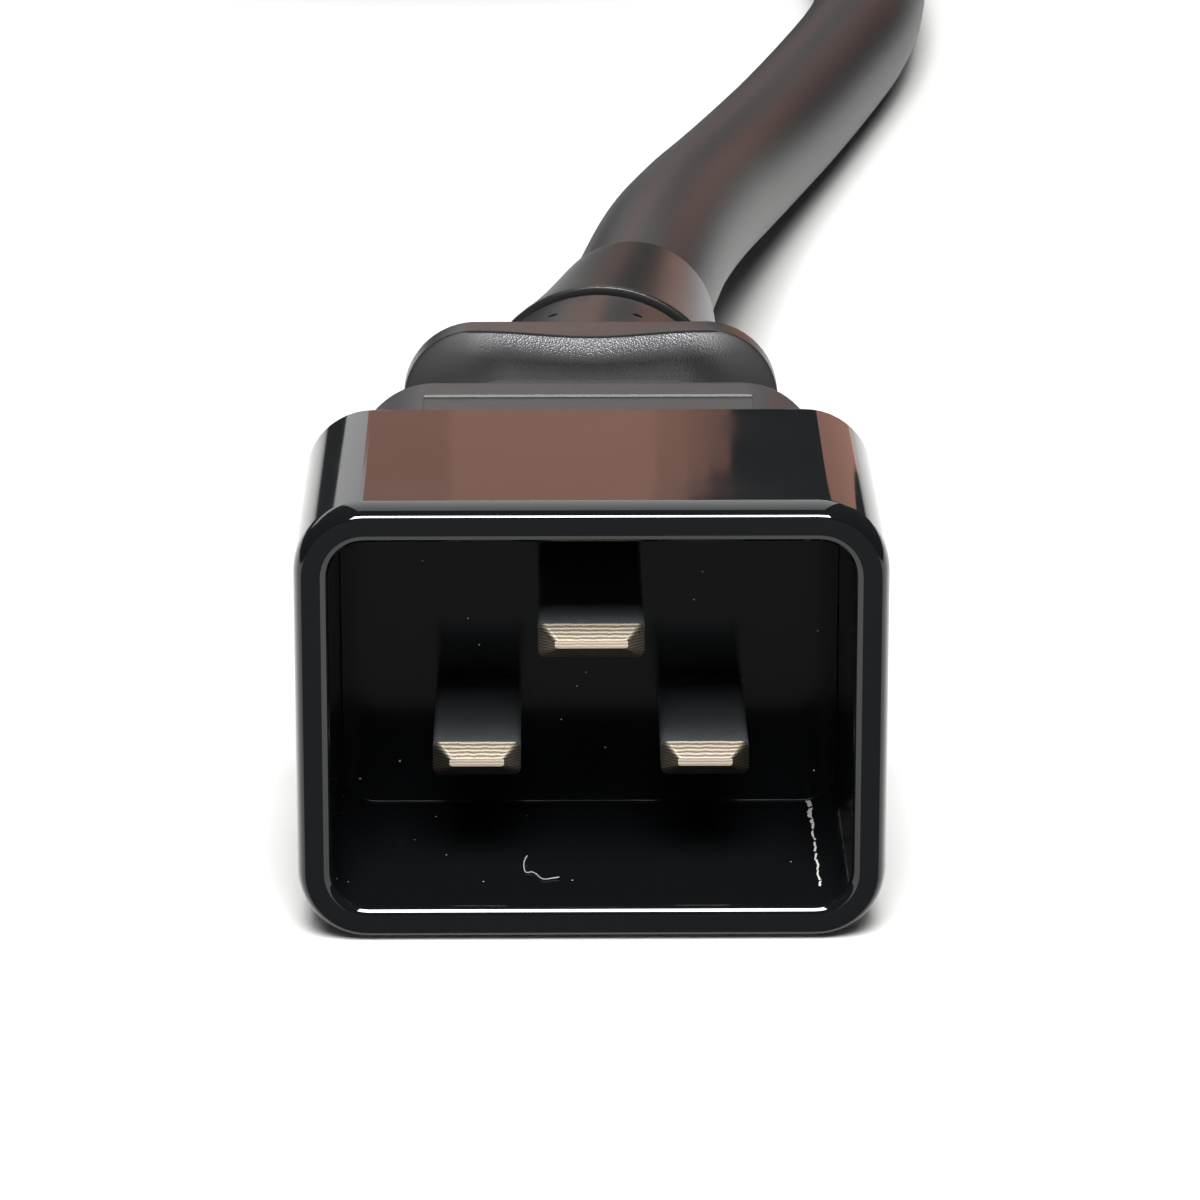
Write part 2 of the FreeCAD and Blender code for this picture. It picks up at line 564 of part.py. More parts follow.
def build():
    """Every piece in its place, by name."""
    route, radii = rounded_route([(x, y, z - AXIS_HEIGHT) for x, y, z in CORD_ROUTE])
    print("arc radii of the cord:", ", ".join(f"{r:.0f}" for r in radii))
    plug_path = route.translated(Vector(0, SHROUD_LENGTH + FLARE_AT, 0))
    relief_end, relief_way = along(plug_path, JACKET_IN_GRIP)
    plug_length = relief_end.y + (CORD_RADIUS + SLEEVE_END_WALL) * abs(relief_way.x)
    plug_place = Vector(0, -plug_length / 2, AXIS_HEIGHT)
    parts = {name: shape.translated(plug_place) for name, shape in plug_parts(plug_path).items()}

    lead_path = plug_path.translated(plug_place)
    parts["cord_lead"] = pipe(lead_path, CORD_DIAMETER)
    lead_share = parts["cord_lead"].Volume / (math.pi * CORD_RADIUS ** 2 * lead_path.Length)
    print(f"cord lead: {lead_path.Length:.1f} long, volume over section times length {lead_share:.4f}")

    entry = lead_path.OrderedVertexes[-1].Point
    outer_lane = HANK_INNER_RADIUS + (HANK_LANES - 1) * CORD_DIAMETER
    hank_centre = Vector(entry.x - outer_lane, entry.y + HANK_STRAIGHT / 2, 0)
    connector_axis = hank_centre + Vector(-(HANK_INNER_RADIUS + outer_lane) / 2, 0, 0)
    connector_axis.z = HANK_LIFT + HANK_HEIGHT + AXIS_HEIGHT
    rise_end = connector_axis + Vector(0, HANK_STRAIGHT / 2 - TAIL_STRAIGHT, 0)
    parts["cord_hank"] = cord_hank(hank_centre, entry, rise_end)
    parts["cord_tie"] = cord_tie(hank_centre)

    tail_start = Vector(0, NOSE_LENGTH + COLLAR_LENGTH + FLARE_AT, 0)
    tail_end = tail_start + Vector(0, JACKET_IN_GRIP, 0)
    tail_path = Part.Wire(Part.LineSegment(tail_start, tail_end).toShape())
    connector_place = rise_end - tail_end
    for name, shape in connector_parts(tail_path).items():
        parts[name] = shape.translated(connector_place)
    parts["cord_tail"] = pipe(tail_path, CORD_DIAMETER).translated(connector_place)
    return parts


def main():
    os.makedirs("parts", exist_ok=True)
    for name, shape in build().items():
        solids = shape.Solids
        whole = solids[0] if len(solids) == 1 else Part.makeCompound(solids)
        whole.exportStep(f"parts/{name}.step")
        box = whole.BoundBox
        print(f"{name:28s} solids {len(solids)} valid {whole.isValid()} volume {whole.Volume:9.1f} "
              f"x {box.XMin:7.2f} {box.XMax:7.2f} y {box.YMin:7.2f} {box.YMax:7.2f} "
              f"z {box.ZMin:6.2f} {box.ZMax:6.2f}")


main()
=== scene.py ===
"""Power extension cord, dressed for its picture.

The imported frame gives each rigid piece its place. The operators below model what is seen of them: the glossy
shroud and its plated pins, the soft grips with their bend reliefs, the cord in its hank, the strap round it,
and the dust in the cavity. Sizes are in metres, +Z is up, and the pins point towards -Y.
"""
import math
from functools import partial

import bmesh
import bpy
from bpy.props import FloatProperty, FloatVectorProperty, PointerProperty
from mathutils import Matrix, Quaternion, Vector


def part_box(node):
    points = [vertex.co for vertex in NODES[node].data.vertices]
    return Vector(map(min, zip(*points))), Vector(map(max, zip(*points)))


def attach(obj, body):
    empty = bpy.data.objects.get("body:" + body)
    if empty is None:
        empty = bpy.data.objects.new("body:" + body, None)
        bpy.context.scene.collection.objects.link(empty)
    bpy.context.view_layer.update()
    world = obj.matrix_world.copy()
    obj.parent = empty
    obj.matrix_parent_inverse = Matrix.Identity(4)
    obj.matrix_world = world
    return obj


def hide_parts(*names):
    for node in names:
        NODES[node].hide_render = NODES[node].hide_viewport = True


bl_info = {
    "name": "Power Extension Cord",
    "version": (1, 0, 0),
    "blender": (4, 5, 0),
    "location": "3D View > Sidebar > Cord",
    "description": "Models the visible pieces of a power extension cord round its frame",
    "category": "Object",
}

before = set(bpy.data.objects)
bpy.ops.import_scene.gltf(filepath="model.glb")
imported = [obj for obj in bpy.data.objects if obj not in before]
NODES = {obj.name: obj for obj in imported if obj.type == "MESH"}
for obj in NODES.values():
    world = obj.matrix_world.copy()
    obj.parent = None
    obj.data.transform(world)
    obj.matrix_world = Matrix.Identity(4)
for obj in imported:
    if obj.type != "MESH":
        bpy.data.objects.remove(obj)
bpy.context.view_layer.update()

MM = 0.001
TINY = 0.01 * MM

# Where the frame puts the two ends: each lies along Y, its front towards -Y
SHROUD_LOW, SHROUD_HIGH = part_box("plug_shroud")
SHROUD_MIDDLE = (SHROUD_LOW + SHROUD_HIGH) / 2
NOSE_LOW, NOSE_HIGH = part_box("connector_nose")
NOSE_MIDDLE = (NOSE_LOW + NOSE_HIGH) / 2
PLUG_GRIP_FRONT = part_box("plug_grip")[0].y
CONNECTOR_GRIP_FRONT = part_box("connector_grip")[0].y
PIN_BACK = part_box("plug_line_pin")[1].y

# The cord's middle line from the jacket's end in the plug to the hank
LEAD_ROUTE = (
    (0.0, -0.00098, 0.01265),
    (0.0, 0.00902, 0.01265),
    (0.0022, 0.03052, 0.01265),
    (0.0044, 0.05502, 0.01265),
    (0.0075, 0.08302, 0.0107),
    (0.0125, 0.11702, 0.0067),
    (0.0205, 0.15402, 0.0054),
    (0.0294, 0.19602, 0.0054),
    (0.0300, 0.24462, 0.0062),
    (0.0300, 0.28462, 0.0062),
)

# The hank: two lanes side by side in two layers, round a middle
HANK_MIDDLE = Vector((-0.0129, 0.32762, 0.0))
HANK_HALF_STRAIGHT = 0.043
OUTER_LANE = 0.0429
INNER_LANE = 0.0325
LOW_LAYER = 0.0062
HIGH_LAYER = 0.0166
FOLD_ANGLES = (15, 45, 75, 105, 135, 165)
SIDE_SHARES = (-0.75, -0.25, 0.25, 0.75)
# Lane and height where each lap's right side, far fold, left side and near fold end
HANK_LAPS = (
    ((OUTER_LANE, LOW_LAYER), (OUTER_LANE, LOW_LAYER), (OUTER_LANE, LOW_LAYER), (INNER_LANE, LOW_LAYER)),
    ((INNER_LANE, LOW_LAYER), (INNER_LANE, LOW_LAYER), (INNER_LANE, HIGH_LAYER), (INNER_LANE, HIGH_LAYER)),
    ((INNER_LANE, HIGH_LAYER), (OUTER_LANE, HIGH_LAYER), (OUTER_LANE, HIGH_LAYER), (OUTER_LANE, HIGH_LAYER)),
)
# The last half turn, up to the connector that lies on the hank
TAIL_ROUTE = (
    (0.0300, 0.30000, 0.0166),
    (0.0300, 0.33500, 0.0166),
    (0.0300, 0.36000, 0.0170),
    (0.0300, 0.38140, 0.0180),
    (0.0192, 0.40010, 0.0202),
    (0.0005, 0.41090, 0.0240),
    (-0.0211, 0.41090, 0.0285),
    (-0.0398, 0.40010, 0.0325),
    (-0.0506, 0.38140, 0.0344),
    (-0.0506, 0.36262, 0.03475),
    (-0.0506, 0.34000, 0.03475),
    (-0.0506, 0.31562, 0.03475),
)

# A thread of lint on the cavity's lower wall, in millimetres
LINT_ROUTE = (
    (-3.67, -38.96, 2.3), (-3.88, -39.4, 2.1), (-3.82, -40.89, 2.05), (-3.67, -41.22, 2.05),
    (-3.38, -41.05, 2.07), (-3.13, -41.4, 2.05), (-2.88, -42.2, 2.05), (-2.59, -42.43, 2.08),
    (-2.23, -42.15, 2.05), (-1.83, -42.1, 2.1),
)
# The scratch on that wall, in millimetres: the X it wavers between, the Y where it broadens, its half widths,
# and the middle and half extent of its run in Y and of the wall's surface in Z
SCRATCH_X = (12.88, 13.08)
SCRATCH_BROADENS = (-34.0, -31.0)
SCRATCH_HALF_WIDTHS = (0.055, 0.13)
SCRATCH_RUN = (-36.0, 7.6)
WALL_SKIN = (2.1, 0.3)

# A grip's sections in millimetres: half width, half height and corner
NECK = (13.95, 11.75, 4.65)
WAIST = (10.4, 9.35, 5.4)
FLARE = (11.82, 10.85, 4.6)
COLLAR = (16.6, 12.65, 4.0)
# Where they lie behind the neck's front, in millimetres, and the dish's slope where it meets the flare
NECK_ROOT = 0.1
NECK_END = 8.7
WAIST_AT = 14.2
DISH_FROM = 19.6
DISH_SLOPE = math.radians(58)
FLARE_AT = 25.7
FLARE_END = 28.9
FLARE_ROLL = 1.0
COLLAR_LENGTH = 6.0
COLLAR_ROLL = 0.75
# Points of a ring, steps between sections, and cuts in the flare's long edge for its bow
RING_POINTS = 64
NECK_STEPS = 16
DISH_STEPS = 20
FLARE_STEPS = 6
COLLAR_STEPS = 4
BOW_CUTS = 13
# The bend relief: distance along the cord from the jacket's end, and the wall over the cord, in millimetres
RELIEF = (
    (4.7, 4.3), (4.85, 4.0), (5.15, 3.78), (5.7, 3.62), (8.0, 3.5), (12.0, 3.4), (16.0, 3.3), (19.5, 3.2),
    (20.9, 3.15), (21.15, 3.08), (21.27, 2.9), (21.3, 2.7),
    (21.35, 2.2), (21.45, 2.0), (21.9, 1.9), (22.35, 2.0), (22.45, 2.2), (22.5, 2.9),
    (22.52, 3.2), (22.57, 3.3), (22.67, 3.34), (22.95, 3.35), (26.0, 2.93), (30.0, 2.43), (34.0, 1.96),
    (38.0, 1.54), (42.0, 1.14), (46.0, 0.75), (47.0, 0.64), (47.3, 0.58), (47.5, 0.46), (47.6, 0.26),
    (47.65, 0.05),
)
# The grip's finish, in millimetres: behind the neck's front, the grain's middle and half extent, where the
# gloss grows and where the chalk ends; beside the axis, the grain's middle, where it fades, and where the dish
# is dull;
# and how far over the waist the painted highlight on the grain begins
GRAIN_MIDDLE = 22.5
GRAIN_HALF = 3.3
SATIN_FROM = (20.0, 26.0)
CHALK_ENDS = (12.0, 20.0)
GRAIN_ASIDE = 0.8
GRAIN_FADES = (4.5, 10.5)
SIDES_DULL = (5.5, 8.5)
HIGHLIGHT_OVER_WAIST = 0.15
# The length in which a wave pattern of scale 1 repeats
WAVE_PERIOD = 0.314

# How far a face's normal has to point forwards: on a flat front, on the rim's flat and on a tip's slopes
FRONT = 0.9
RIM_FLAT = 0.97
TIP_SLOPE = 0.4
SMOOTH_UNDER = math.radians(40)

# Lamps: place, aim, size, radiance and whether they show in the gloss
LAMPS = {
    "softbox": ((0.0, -0.588, 0.809), (0.0, 0.0, 0.0), (0.45, 0.57), 57.0, True),
    "front_fill": ((0.0, -1.3, 0.42), (0.0, 0.0, 0.0), (1.4, 0.5), 2.6, False),
    "floor_fill": ((0.0, 0.6, 1.3), (0.0, 0.5, 0.0), (1.6, 1.6), 4.0, False),
}
# Reflectors that stand behind and show in the gloss: left, low, right and high edge, radiance, whether warm
REFLECTORS_AT = 0.7
REFLECTORS = {
    "back_wall": ((-0.18, 0.28, 0.18, 1.15), 1.0, False),
    "wall_edge": ((-0.18, 0.255, 0.18, 0.27), 2.5, False),
    "warm_middle": ((-0.0205, 0.1, 0.018, 0.25), 0.77, True),
    "warm_left": ((-0.044, 0.1, -0.0205, 0.25), 0.62, True),
    "warm_far_left": ((-0.062, 0.1, -0.044, 0.225), 0.62, True),
    "warm_right": ((0.018, 0.1, 0.024, 0.24), 0.62, True),
    "warm_edge": ((0.024, 0.1, 0.028, 0.235), 0.5, True),
    "warm_corner": ((0.028, 0.1, 0.032, 0.23), 0.4, True),
    "warm_far_right": ((0.112, 0.0, 0.222, 0.21), 0.7, True),
    "left_card": ((-0.45, 0.14, -0.062, 0.2365), 0.95, False),
    "left_corner": ((-0.062, 0.225, -0.044, 0.25), 0.95, False),
}


def linear(hex_colour):
    """The linear red, green and blue of an sRGB hex colour."""
    channels = [int(hex_colour[i:i + 2], 16) / 255 for i in (1, 3, 5)]
    return [c / 12.92 if c <= 0.04045 else ((c + 0.055) / 1.055) ** 2.4 for c in channels]


def length(name, description, millimetres):
    """A setting for a length."""
    return FloatProperty(
        name=name, description=description, default=millimetres * MM, unit="LENGTH", precision=5)


def colour(name, description, hex_colour):
    """A setting for a colour."""
    return FloatVectorProperty(
        name=name, description=description, default=linear(hex_colour), subtype="COLOR")


class ShroudSettings(bpy.types.PropertyGroup):
    """The hard box round the pins."""

    corner: length("Corner", "Radius of the four long edges", 4.0)
    wall: length("Wall", "Thickness of the walls", 2.0)
    depth: length("Depth", "From the rim to the floor of the cavity", 18.7)
    outer_roll: length("Outer roll", "How far the rim's outer edge is rounded across the wall", 0.58)
    outer_run: length("Outer run", "How far back the rim's outer edge is rounded", 1.8)
    inner_roll: length("Inner roll", "Radius of the rim's inner edge", 0.55)
    back_roll: length("Back roll", "Radius of the back edge", 0.4)
    floor_roll: length("Floor roll", "Radius where the cavity's walls meet its floor", 0.1)
    plastic: colour("Plastic", "Colour of the polished plastic", "#060708")
    dust: colour("Dust", "Colour of the dust and the scratch in the cavity", "#8e8d8a")


class PinSettings(bpy.types.PropertyGroup):
    """The flat pins and their crimp barrels."""

    thickness: length("Thickness", "Thickness of the blades", 2.0)
    tip: length("Tip", "Length of the bevelled tip", 0.85)
    tip_side: length("Tip side", "How far the tip narrows on each side", 0.95)
    tip_face: length("Tip face", "How far the tip thins on each face", 0.77)
    edge: length("Edge", "Radius of the blade's long edges", 0.4)
    tip_edge: length("Tip edge", "Radius of the edges round the tip's faces", 0.05)
    barrel: length("Barrel", "Diameter of the crimp barrel", 4.0)
    barrel_length: length("Barrel length", "Length of the crimp barrel", 7.5)
    bore: length("Bore", "Diameter of the hole for the conductor", 2.4)
    bore_depth: length("Bore depth", "Depth of the hole for the conductor", 6.0)
    dulled: length("Dulled length", "How far behind the tip the plating is duller", 4.0)
    plating: colour("Plating", "Colour of the plating on the blades", "#82878b")
    rubbed: colour("Rubbed plating", "Colour of the plating where it has been rubbed", "#6e7377")
    # The slopes' and the end's colours are two tones of one coined finish: painted shade on the slopes, painted
    # light on the end
    shaded_slope_pale: colour("Light marks", "Colour of the bare marks on the tips' slopes", "#605950")
    shaded_slope_stain: colour("Dark marks", "Colour of the stains on the tips' slopes", "#3b362f")
    lit_end_pale: colour("Light end", "Colour of the bare marks on the tips' ends", "#bdb1a3")
    lit_end_stain: colour("Dark end", "Colour of the stains on the tips' ends", "#8f8477")


class GripSettings(bpy.types.PropertyGroup):
    """The soft grips and their bend reliefs."""

    panel_width: length("Panel width", "Width of the bare panel on the neck", 19.6)
    panel_length: length("Panel length", "Length of the bare panel on the neck", 6.4)
    panel_depth: length("Panel depth", "Depth of the bare panel on the neck", 0.16)
    panel_edge: length("Panel edge", "Width of the bevel on the panel's rear edge", 0.12)
    flare_edge: length("Flare edge", "Radius where the dish meets the flare's rim", 0.25)
    bow: length("Bow", "How far the flare's front edge bows forward in its middle", 1.5)
    bow_reach: length("Bow reach", "How far to each side the bow reaches", 7.0)
    vent: length("Vent", "Diameter of the two mould vents", 0.7)
    vent_depth: length("Vent depth", "Depth that the mould vents are cut along", 3.2)
    vent_over: length("Vent height", "Of the vents' middle over the cord's jacket", 3.4)
    vent_spacing: length("Vent spacing", "Between the two mould vents", 5.5)
    vent_at: length("Vent place", "Along the cord from the jacket's end", 16.7)
    lean: length("Lean", "How far the flare leans to the side its cord leaves on", 0.32)
    pvc: colour("PVC", "Colour of the soft plastic", "#0c0c0c")
    # A painted highlight: the paler colour mixed into the dish's grain, growing up towards the rim
    dish_highlight: colour("Dish highlight", "Colour of the soft plastic at the grained dish's edge", "#3b3b3d")
    chalked: colour("Chalked PVC", "Colour of the soft plastic on the neck, where it has dulled", "#1b1b1c")


class CordSettings(bpy.types.PropertyGroup):
    """The cord and its strap."""

    diameter: length("Diameter", "Across the cord's jacket", 10.4)
    total: length("Length", "From the plug to the connector", 1800.0)
    jacket: colour("Jacket", "Colour of the jacket", "#0f0f10")
    strap_thickness: length("Strap thickness", "Thickness of the strap round the hank", 1.0)
    strap_corner: length("Strap corner", "Outer radius of the strap's corners", 6.0)
    strap_tab: length("Strap tab", "Length of the strap's end, which lies on its start", 15.0)
    strap_edge: length("Strap edge", "Radius of the edges of the strap's end", 0.25)
    strap: colour("Strap", "Colour of the strap", "#121315")


class WiringSettings(bpy.types.PropertyGroup):
    """What is inside the two ends."""

    earth: colour("Earth", "Colour of the earth's insulation", "#1d7a3a")
    line: colour("Line", "Colour of the line's insulation", "#1a1a1b")
    neutral: colour("Neutral", "Colour of the neutral's insulation", "#d9d8d2")
    copper: colour("Copper", "Colour of the strands", "#c98a63")
    brass: colour("Brass", "Colour of the spring contacts", "#c2a468")
    mould: colour("Inner mould", "Colour of the blocks inside the grips", "#c9c7bd")
    lint: colour("Lint", "Colour of the thread in the cavity", "#838381")
    lint_shade: colour("Lint shade", "Colour of the thread between its fibres", "#3f3f3f")
    lint_radius: length("Lint radius", "Radius of the thread in the cavity", 0.035)


class StageSettings(bpy.types.PropertyGroup):
    """The camera and the studio."""

    lens: FloatProperty(name="Lens", description="Focal length of the camera", default=178.4, unit="CAMERA")
    sensor: FloatProperty(name="Sensor", description="Width of the sensor", default=36.0, unit="CAMERA")
    clip: length("Clip", "Nearest that the camera sees", 10.0)
    eye: FloatVectorProperty(
        name="Eye", description="Where the camera stands", default=(-0.00252, -0.36228, 0.11485),
        subtype="TRANSLATION", unit="LENGTH")
    target: FloatVectorProperty(
        name="Target", description="What the camera looks at", default=(0.00091, 0.00162, 0.00545),
        subtype="TRANSLATION", unit="LENGTH")
    floor: colour("Floor", "Colour of the floor", "#929291")
    floor_size: length("Floor size", "Length of the floor's sides", 6000.0)
    room: colour("Room", "Colour of the dim light from all round", "#383a3c")
    lamp: colour("Lamp", "Colour of the lamps and the plain reflectors", "#ffffff")
    card: colour("Warm card", "Colour of the warm reflectors behind", "#ffbba3")


def add_node(tree, kind, inputs=None, **settings):
    """Add a node with its settings. An input is a value, or the node or output socket that feeds it."""
    node = tree.nodes.new("ShaderNode" + kind)
    for setting, value in settings.items():
        setattr(node, setting, value)
    for socket, value in (inputs or {}).items():
        if isinstance(value, bpy.types.Node):
            value = next(output for output in value.outputs if output.enabled)
        if isinstance(value, bpy.types.NodeSocket):
            tree.links.new(value, node.inputs[socket])
        else:
            node.inputs[socket].default_value = value
    return node


def new_material(name):
    """An empty material, what adds nodes to it, and the object coordinates that its patterns follow."""
    material = bpy.data.materials.new(name)
    material.use_nodes = True
    material.node_tree.nodes.clear()
    add = partial(add_node, material.node_tree)
    return material, add, add("TexCoord").outputs["Object"]


def per(millimetres):
    """The scale of a pattern whose features are this far apart."""
    return 1 / (millimetres * MM)


def bands(millimetres):
    """The scale of a wave pattern whose bands are this far apart."""
    return WAVE_PERIOD * per(millimetres)


def polished_abs(settings):
    """Injection moulded ABS from a polished tool: a deep black gloss with a faint orange peel."""
    material, add, place = new_material("polished_abs")
    peel = add("TexNoise", {"Vector": place, "Scale": per(2.5), "Detail": 2.0})
    smear = add("TexNoise", {"Vector": place, "Scale": per(9.0), "Detail": 4.0})
    rough = add("MapRange", {
        "Value": smear, "From Min": 0.35, "From Max": 0.7, "To Min": 0.03, "To Max": 0.07})
    bump = add("Bump", {"Height": peel, "Strength": 0.1, "Distance": 0.01 * MM})
    shader = add("BsdfPrincipled", {
        "Base Color": (*settings.plastic, 1), "Roughness": rough, "IOR": 1.53, "Normal": bump})
    add("OutputMaterial", {"Surface": shader})
    return material


def cavity_abs(settings):
    """The shroud's ABS with a low IOR: painted shade in the cavity and on the rim's flat front, with dust and a
    scratch on it.
    """
    material, add, place = new_material("cavity_abs")
    part = add("SeparateXYZ", {"Vector": place}).outputs
    # Specks a tenth of a millimetre across, in two fifths of the pattern's cells
    cell = add("TexVoronoi", {"Vector": place, "Scale": per(1.4)})
    speck = add("Math", {0: cell, 1: 0.037}, operation="LESS_THAN")
    kept = add("Math", {0: cell.outputs["Color"], 1: 0.6}, operation="GREATER_THAN")
    dust = add("Math", {0: speck, 1: kept}, operation="MULTIPLY")
    # The scratch runs back along the lower wall near its right corner: broad and rough at the back, then thin
    left, right = SCRATCH_X
    waver = add("TexNoise", {"Vector": place, "Scale": per(1.2), "Detail": 4.0})
    line = add("MapRange", {
        "Value": waver, "From Min": 0.3, "From Max": 0.7, "To Min": left * MM, "To Max": right * MM})
    front, back = SCRATCH_BROADENS
    thin, broad = SCRATCH_HALF_WIDTHS
    breadth = add("MapRange", {
        "Value": part["Y"], "From Min": front * MM, "From Max": back * MM,
        "To Min": thin * MM, "To Max": broad * MM})
    scratch = add("Math", {0: part["X"], 1: line, 2: breadth}, operation="COMPARE")
    for axis, (middle, half) in (("Z", WALL_SKIN), ("Y", SCRATCH_RUN)):
        within = add("Math", {0: part[axis], 1: middle * MM, 2: half * MM}, operation="COMPARE")
        scratch = add("Math", {0: scratch, 1: within}, operation="MULTIPLY")
    broken = add("TexNoise", {"Vector": place, "Scale": per(0.5), "Detail": 2.0})
    deep = add("Math", {0: broken, 1: 0.42}, operation="GREATER_THAN")
    scratch = add("Math", {0: scratch, 1: deep}, operation="MULTIPLY")
    wear_and_highlight = add("Math", {0: dust, 1: scratch}, operation="MAXIMUM")
    tint = add("Mix", {0: wear_and_highlight, 6: (*settings.plastic, 1), 7: (*settings.dust, 1)}, data_type="RGBA")
    matt = add("MapRange", {"Value": wear_and_highlight, "To Min": 0.12, "To Max": 0.9})
    # The low IOR makes these faces reflect little: painted shade
    shader = add("BsdfPrincipled", {"Base Color": tint, "Roughness": matt, "IOR": 1.15})
    add("OutputMaterial", {"Surface": shader})
    return material


def nickel_plate(name, settings, tip_end):
    """Nickel plate on the rolled blade: a satin silver, duller towards the tip where it has been rubbed."""
    material, add, place = new_material(name)
    part = add("SeparateXYZ", {"Vector": place}).outputs
    rub = add("TexNoise", {"Vector": place, "Scale": per(1.5), "Detail": 3.0})
    tint = add("Mix", {0: rub, 6: (*settings.plating, 1), 7: (*settings.rubbed, 1)}, data_type="RGBA")
    rough = add("MapRange", {
        "Value": part["Y"], "From Min": tip_end, "From Max": tip_end + settings.dulled,
        "To Min": 0.45, "To Max": 0.3})
    shader = add("BsdfPrincipled", {"Base Color": tint, "Metallic": 0.93, "Roughness": rough})
    add("OutputMaterial", {"Surface": shader})
    return material


def coined_brass(name, light, dark):
    """Brass coined at the pin's tip, where the plating has rubbed through to a dull warm silver with level
    marks.
    """
    material, add, place = new_material(name)
    marks = add("TexWave", {
        "Vector": place, "Scale": bands(0.17), "Distortion": 2.0, "Detail": 3.0, "Detail Scale": 1.2},
        bands_direction="Z").outputs["Fac"]
    tint = add("Mix", {0: marks, 6: (*dark, 1), 7: (*light, 1)}, data_type="RGBA")
    bump = add("Bump", {"Height": marks, "Strength": 0.5, "Distance": 0.012 * MM})
    shader = add("BsdfPrincipled", {
        "Base Color": tint, "Metallic": 1.0, "Roughness": 0.45, "Normal": bump})
    add("OutputMaterial", {"Surface": shader})
    return material


def satin_pvc(name, settings, axis, neck_front):
    """Soft PVC moulded over the cord: a satin black, a spark-eroding tool's grain and a painted highlight in
    the dish under the flare.
    """
    material, add, place = new_material(name)
    part = add("SeparateXYZ", {"Vector": place}).outputs
    in_depth = add("Math", {
        0: part["Y"], 1: neck_front + GRAIN_MIDDLE * MM, 2: GRAIN_HALF * MM}, operation="COMPARE")
    under_rim = add("Math", {
        0: part["Z"], 1: axis.z + FLARE[1] * MM - settings.flare_edge / 2}, operation="LESS_THAN")
    dish = add("Math", {0: in_depth, 1: under_rim}, operation="MULTIPLY")
    # The grain fades towards the sides, where the dish is duller
    off_axis = add("Math", {0: part["X"], 1: axis.x + GRAIN_ASIDE * MM}, operation="SUBTRACT")
    aside = add("Math", {0: off_axis}, operation="ABSOLUTE")
    near, far = GRAIN_FADES
    fade = add("MapRange", {
        "Value": aside, "From Min": near * MM, "From Max": far * MM, "To Min": 1.0, "To Max": 0.0})
    grained = add("Math", {0: dish, 1: fade}, operation="MULTIPLY")
    strength = add("MapRange", {"Value": grained, "To Min": 0.06, "To Max": 0.8})
    grain = add("TexVoronoi", {"Vector": place, "Scale": per(0.13)})
    bump = add("Bump", {"Height": grain, "Strength": strength, "Distance": 0.05 * MM})
    front, back = SATIN_FROM
    satin = add("MapRange", {
        "Value": part["Y"], "From Min": neck_front + front * MM, "From Max": neck_front + back * MM,
        "To Min": 0.4, "To Max": 0.29})
    near, far = SIDES_DULL
    sides = add("MapRange", {
        "Value": aside, "From Min": near * MM, "From Max": far * MM, "To Min": 0.0, "To Max": 0.42})
    rough = add("Math", {0: dish, 1: sides, 2: satin}, operation="MULTIPLY_ADD")
    # The neck has chalked, and a painted highlight lightens the grained dish up to the rim
    front, back = CHALK_ENDS
    clean = add("MapRange", {
        "Value": part["Y"], "From Min": neck_front + front * MM, "From Max": neck_front + back * MM})
    tint = add("Mix", {0: clean, 6: (*settings.chalked, 1), 7: (*settings.pvc, 1)}, data_type="RGBA")
    climb = add("MapRange", {
        "Value": part["Z"], "From Min": axis.z + (WAIST[1] + HIGHLIGHT_OVER_WAIST) * MM,
        "From Max": axis.z + FLARE[1] * MM})
    # Painted highlight: the grained dish turns paler as it climbs towards the flare's rim
    painted_highlight = add("Math", {0: grained, 1: climb}, operation="MULTIPLY")
    wear_and_highlight = add("Mix", {0: painted_highlight, 6: tint, 7: (*settings.dish_highlight, 1)}, data_type="RGBA")
    shader = add("BsdfPrincipled", {
        "Base Color": wear_and_highlight, "Roughness": rough, "IOR": 1.37, "Normal": bump})
    add("OutputMaterial", {"Surface": shader})
    return material


def woven_nylon(settings):
    """Hook and loop strap: woven nylon, matt, with the weave drawn at about its real millimetre."""
    material, add, place = new_material("woven_nylon")
    warp = add("TexWave", {"Vector": place, "Scale": bands(0.9)}, bands_direction="Y")
    weft = add("TexWave", {"Vector": place, "Scale": bands(0.7)}, bands_direction="DIAGONAL")
    weave = add("Math", {0: warp.outputs["Fac"], 1: weft.outputs["Fac"]}, operation="MULTIPLY")
    fuzz = add("TexNoise", {"Vector": place, "Scale": per(0.3), "Detail": 3.0})
    rough = add("MapRange", {"Value": fuzz, "To Min": 0.65, "To Max": 0.95})
    bump = add("Bump", {"Height": weave, "Strength": 0.7, "Distance": 0.15 * MM})
    shader = add("BsdfPrincipled", {
        "Base Color": (*settings.strap, 1), "Roughness": rough, "Sheen Weight": 0.3, "Normal": bump})
    add("OutputMaterial", {"Surface": shader})
    return material


def cotton_lint(settings):
    """A thread of cotton, paler where its fibres stand up."""
    material, add, place = new_material("cotton_lint")
    fibre = add("TexNoise", {"Vector": place, "Scale": per(0.4), "Detail": 2.0})
    pale = add("Mix", {0: fibre, 6: (*settings.lint_shade, 1), 7: (*settings.lint, 1)}, data_type="RGBA")
    shader = add("BsdfPrincipled", {"Base Color": pale, "Roughness": 0.95})
    add("OutputMaterial", {"Surface": shader})
    return material


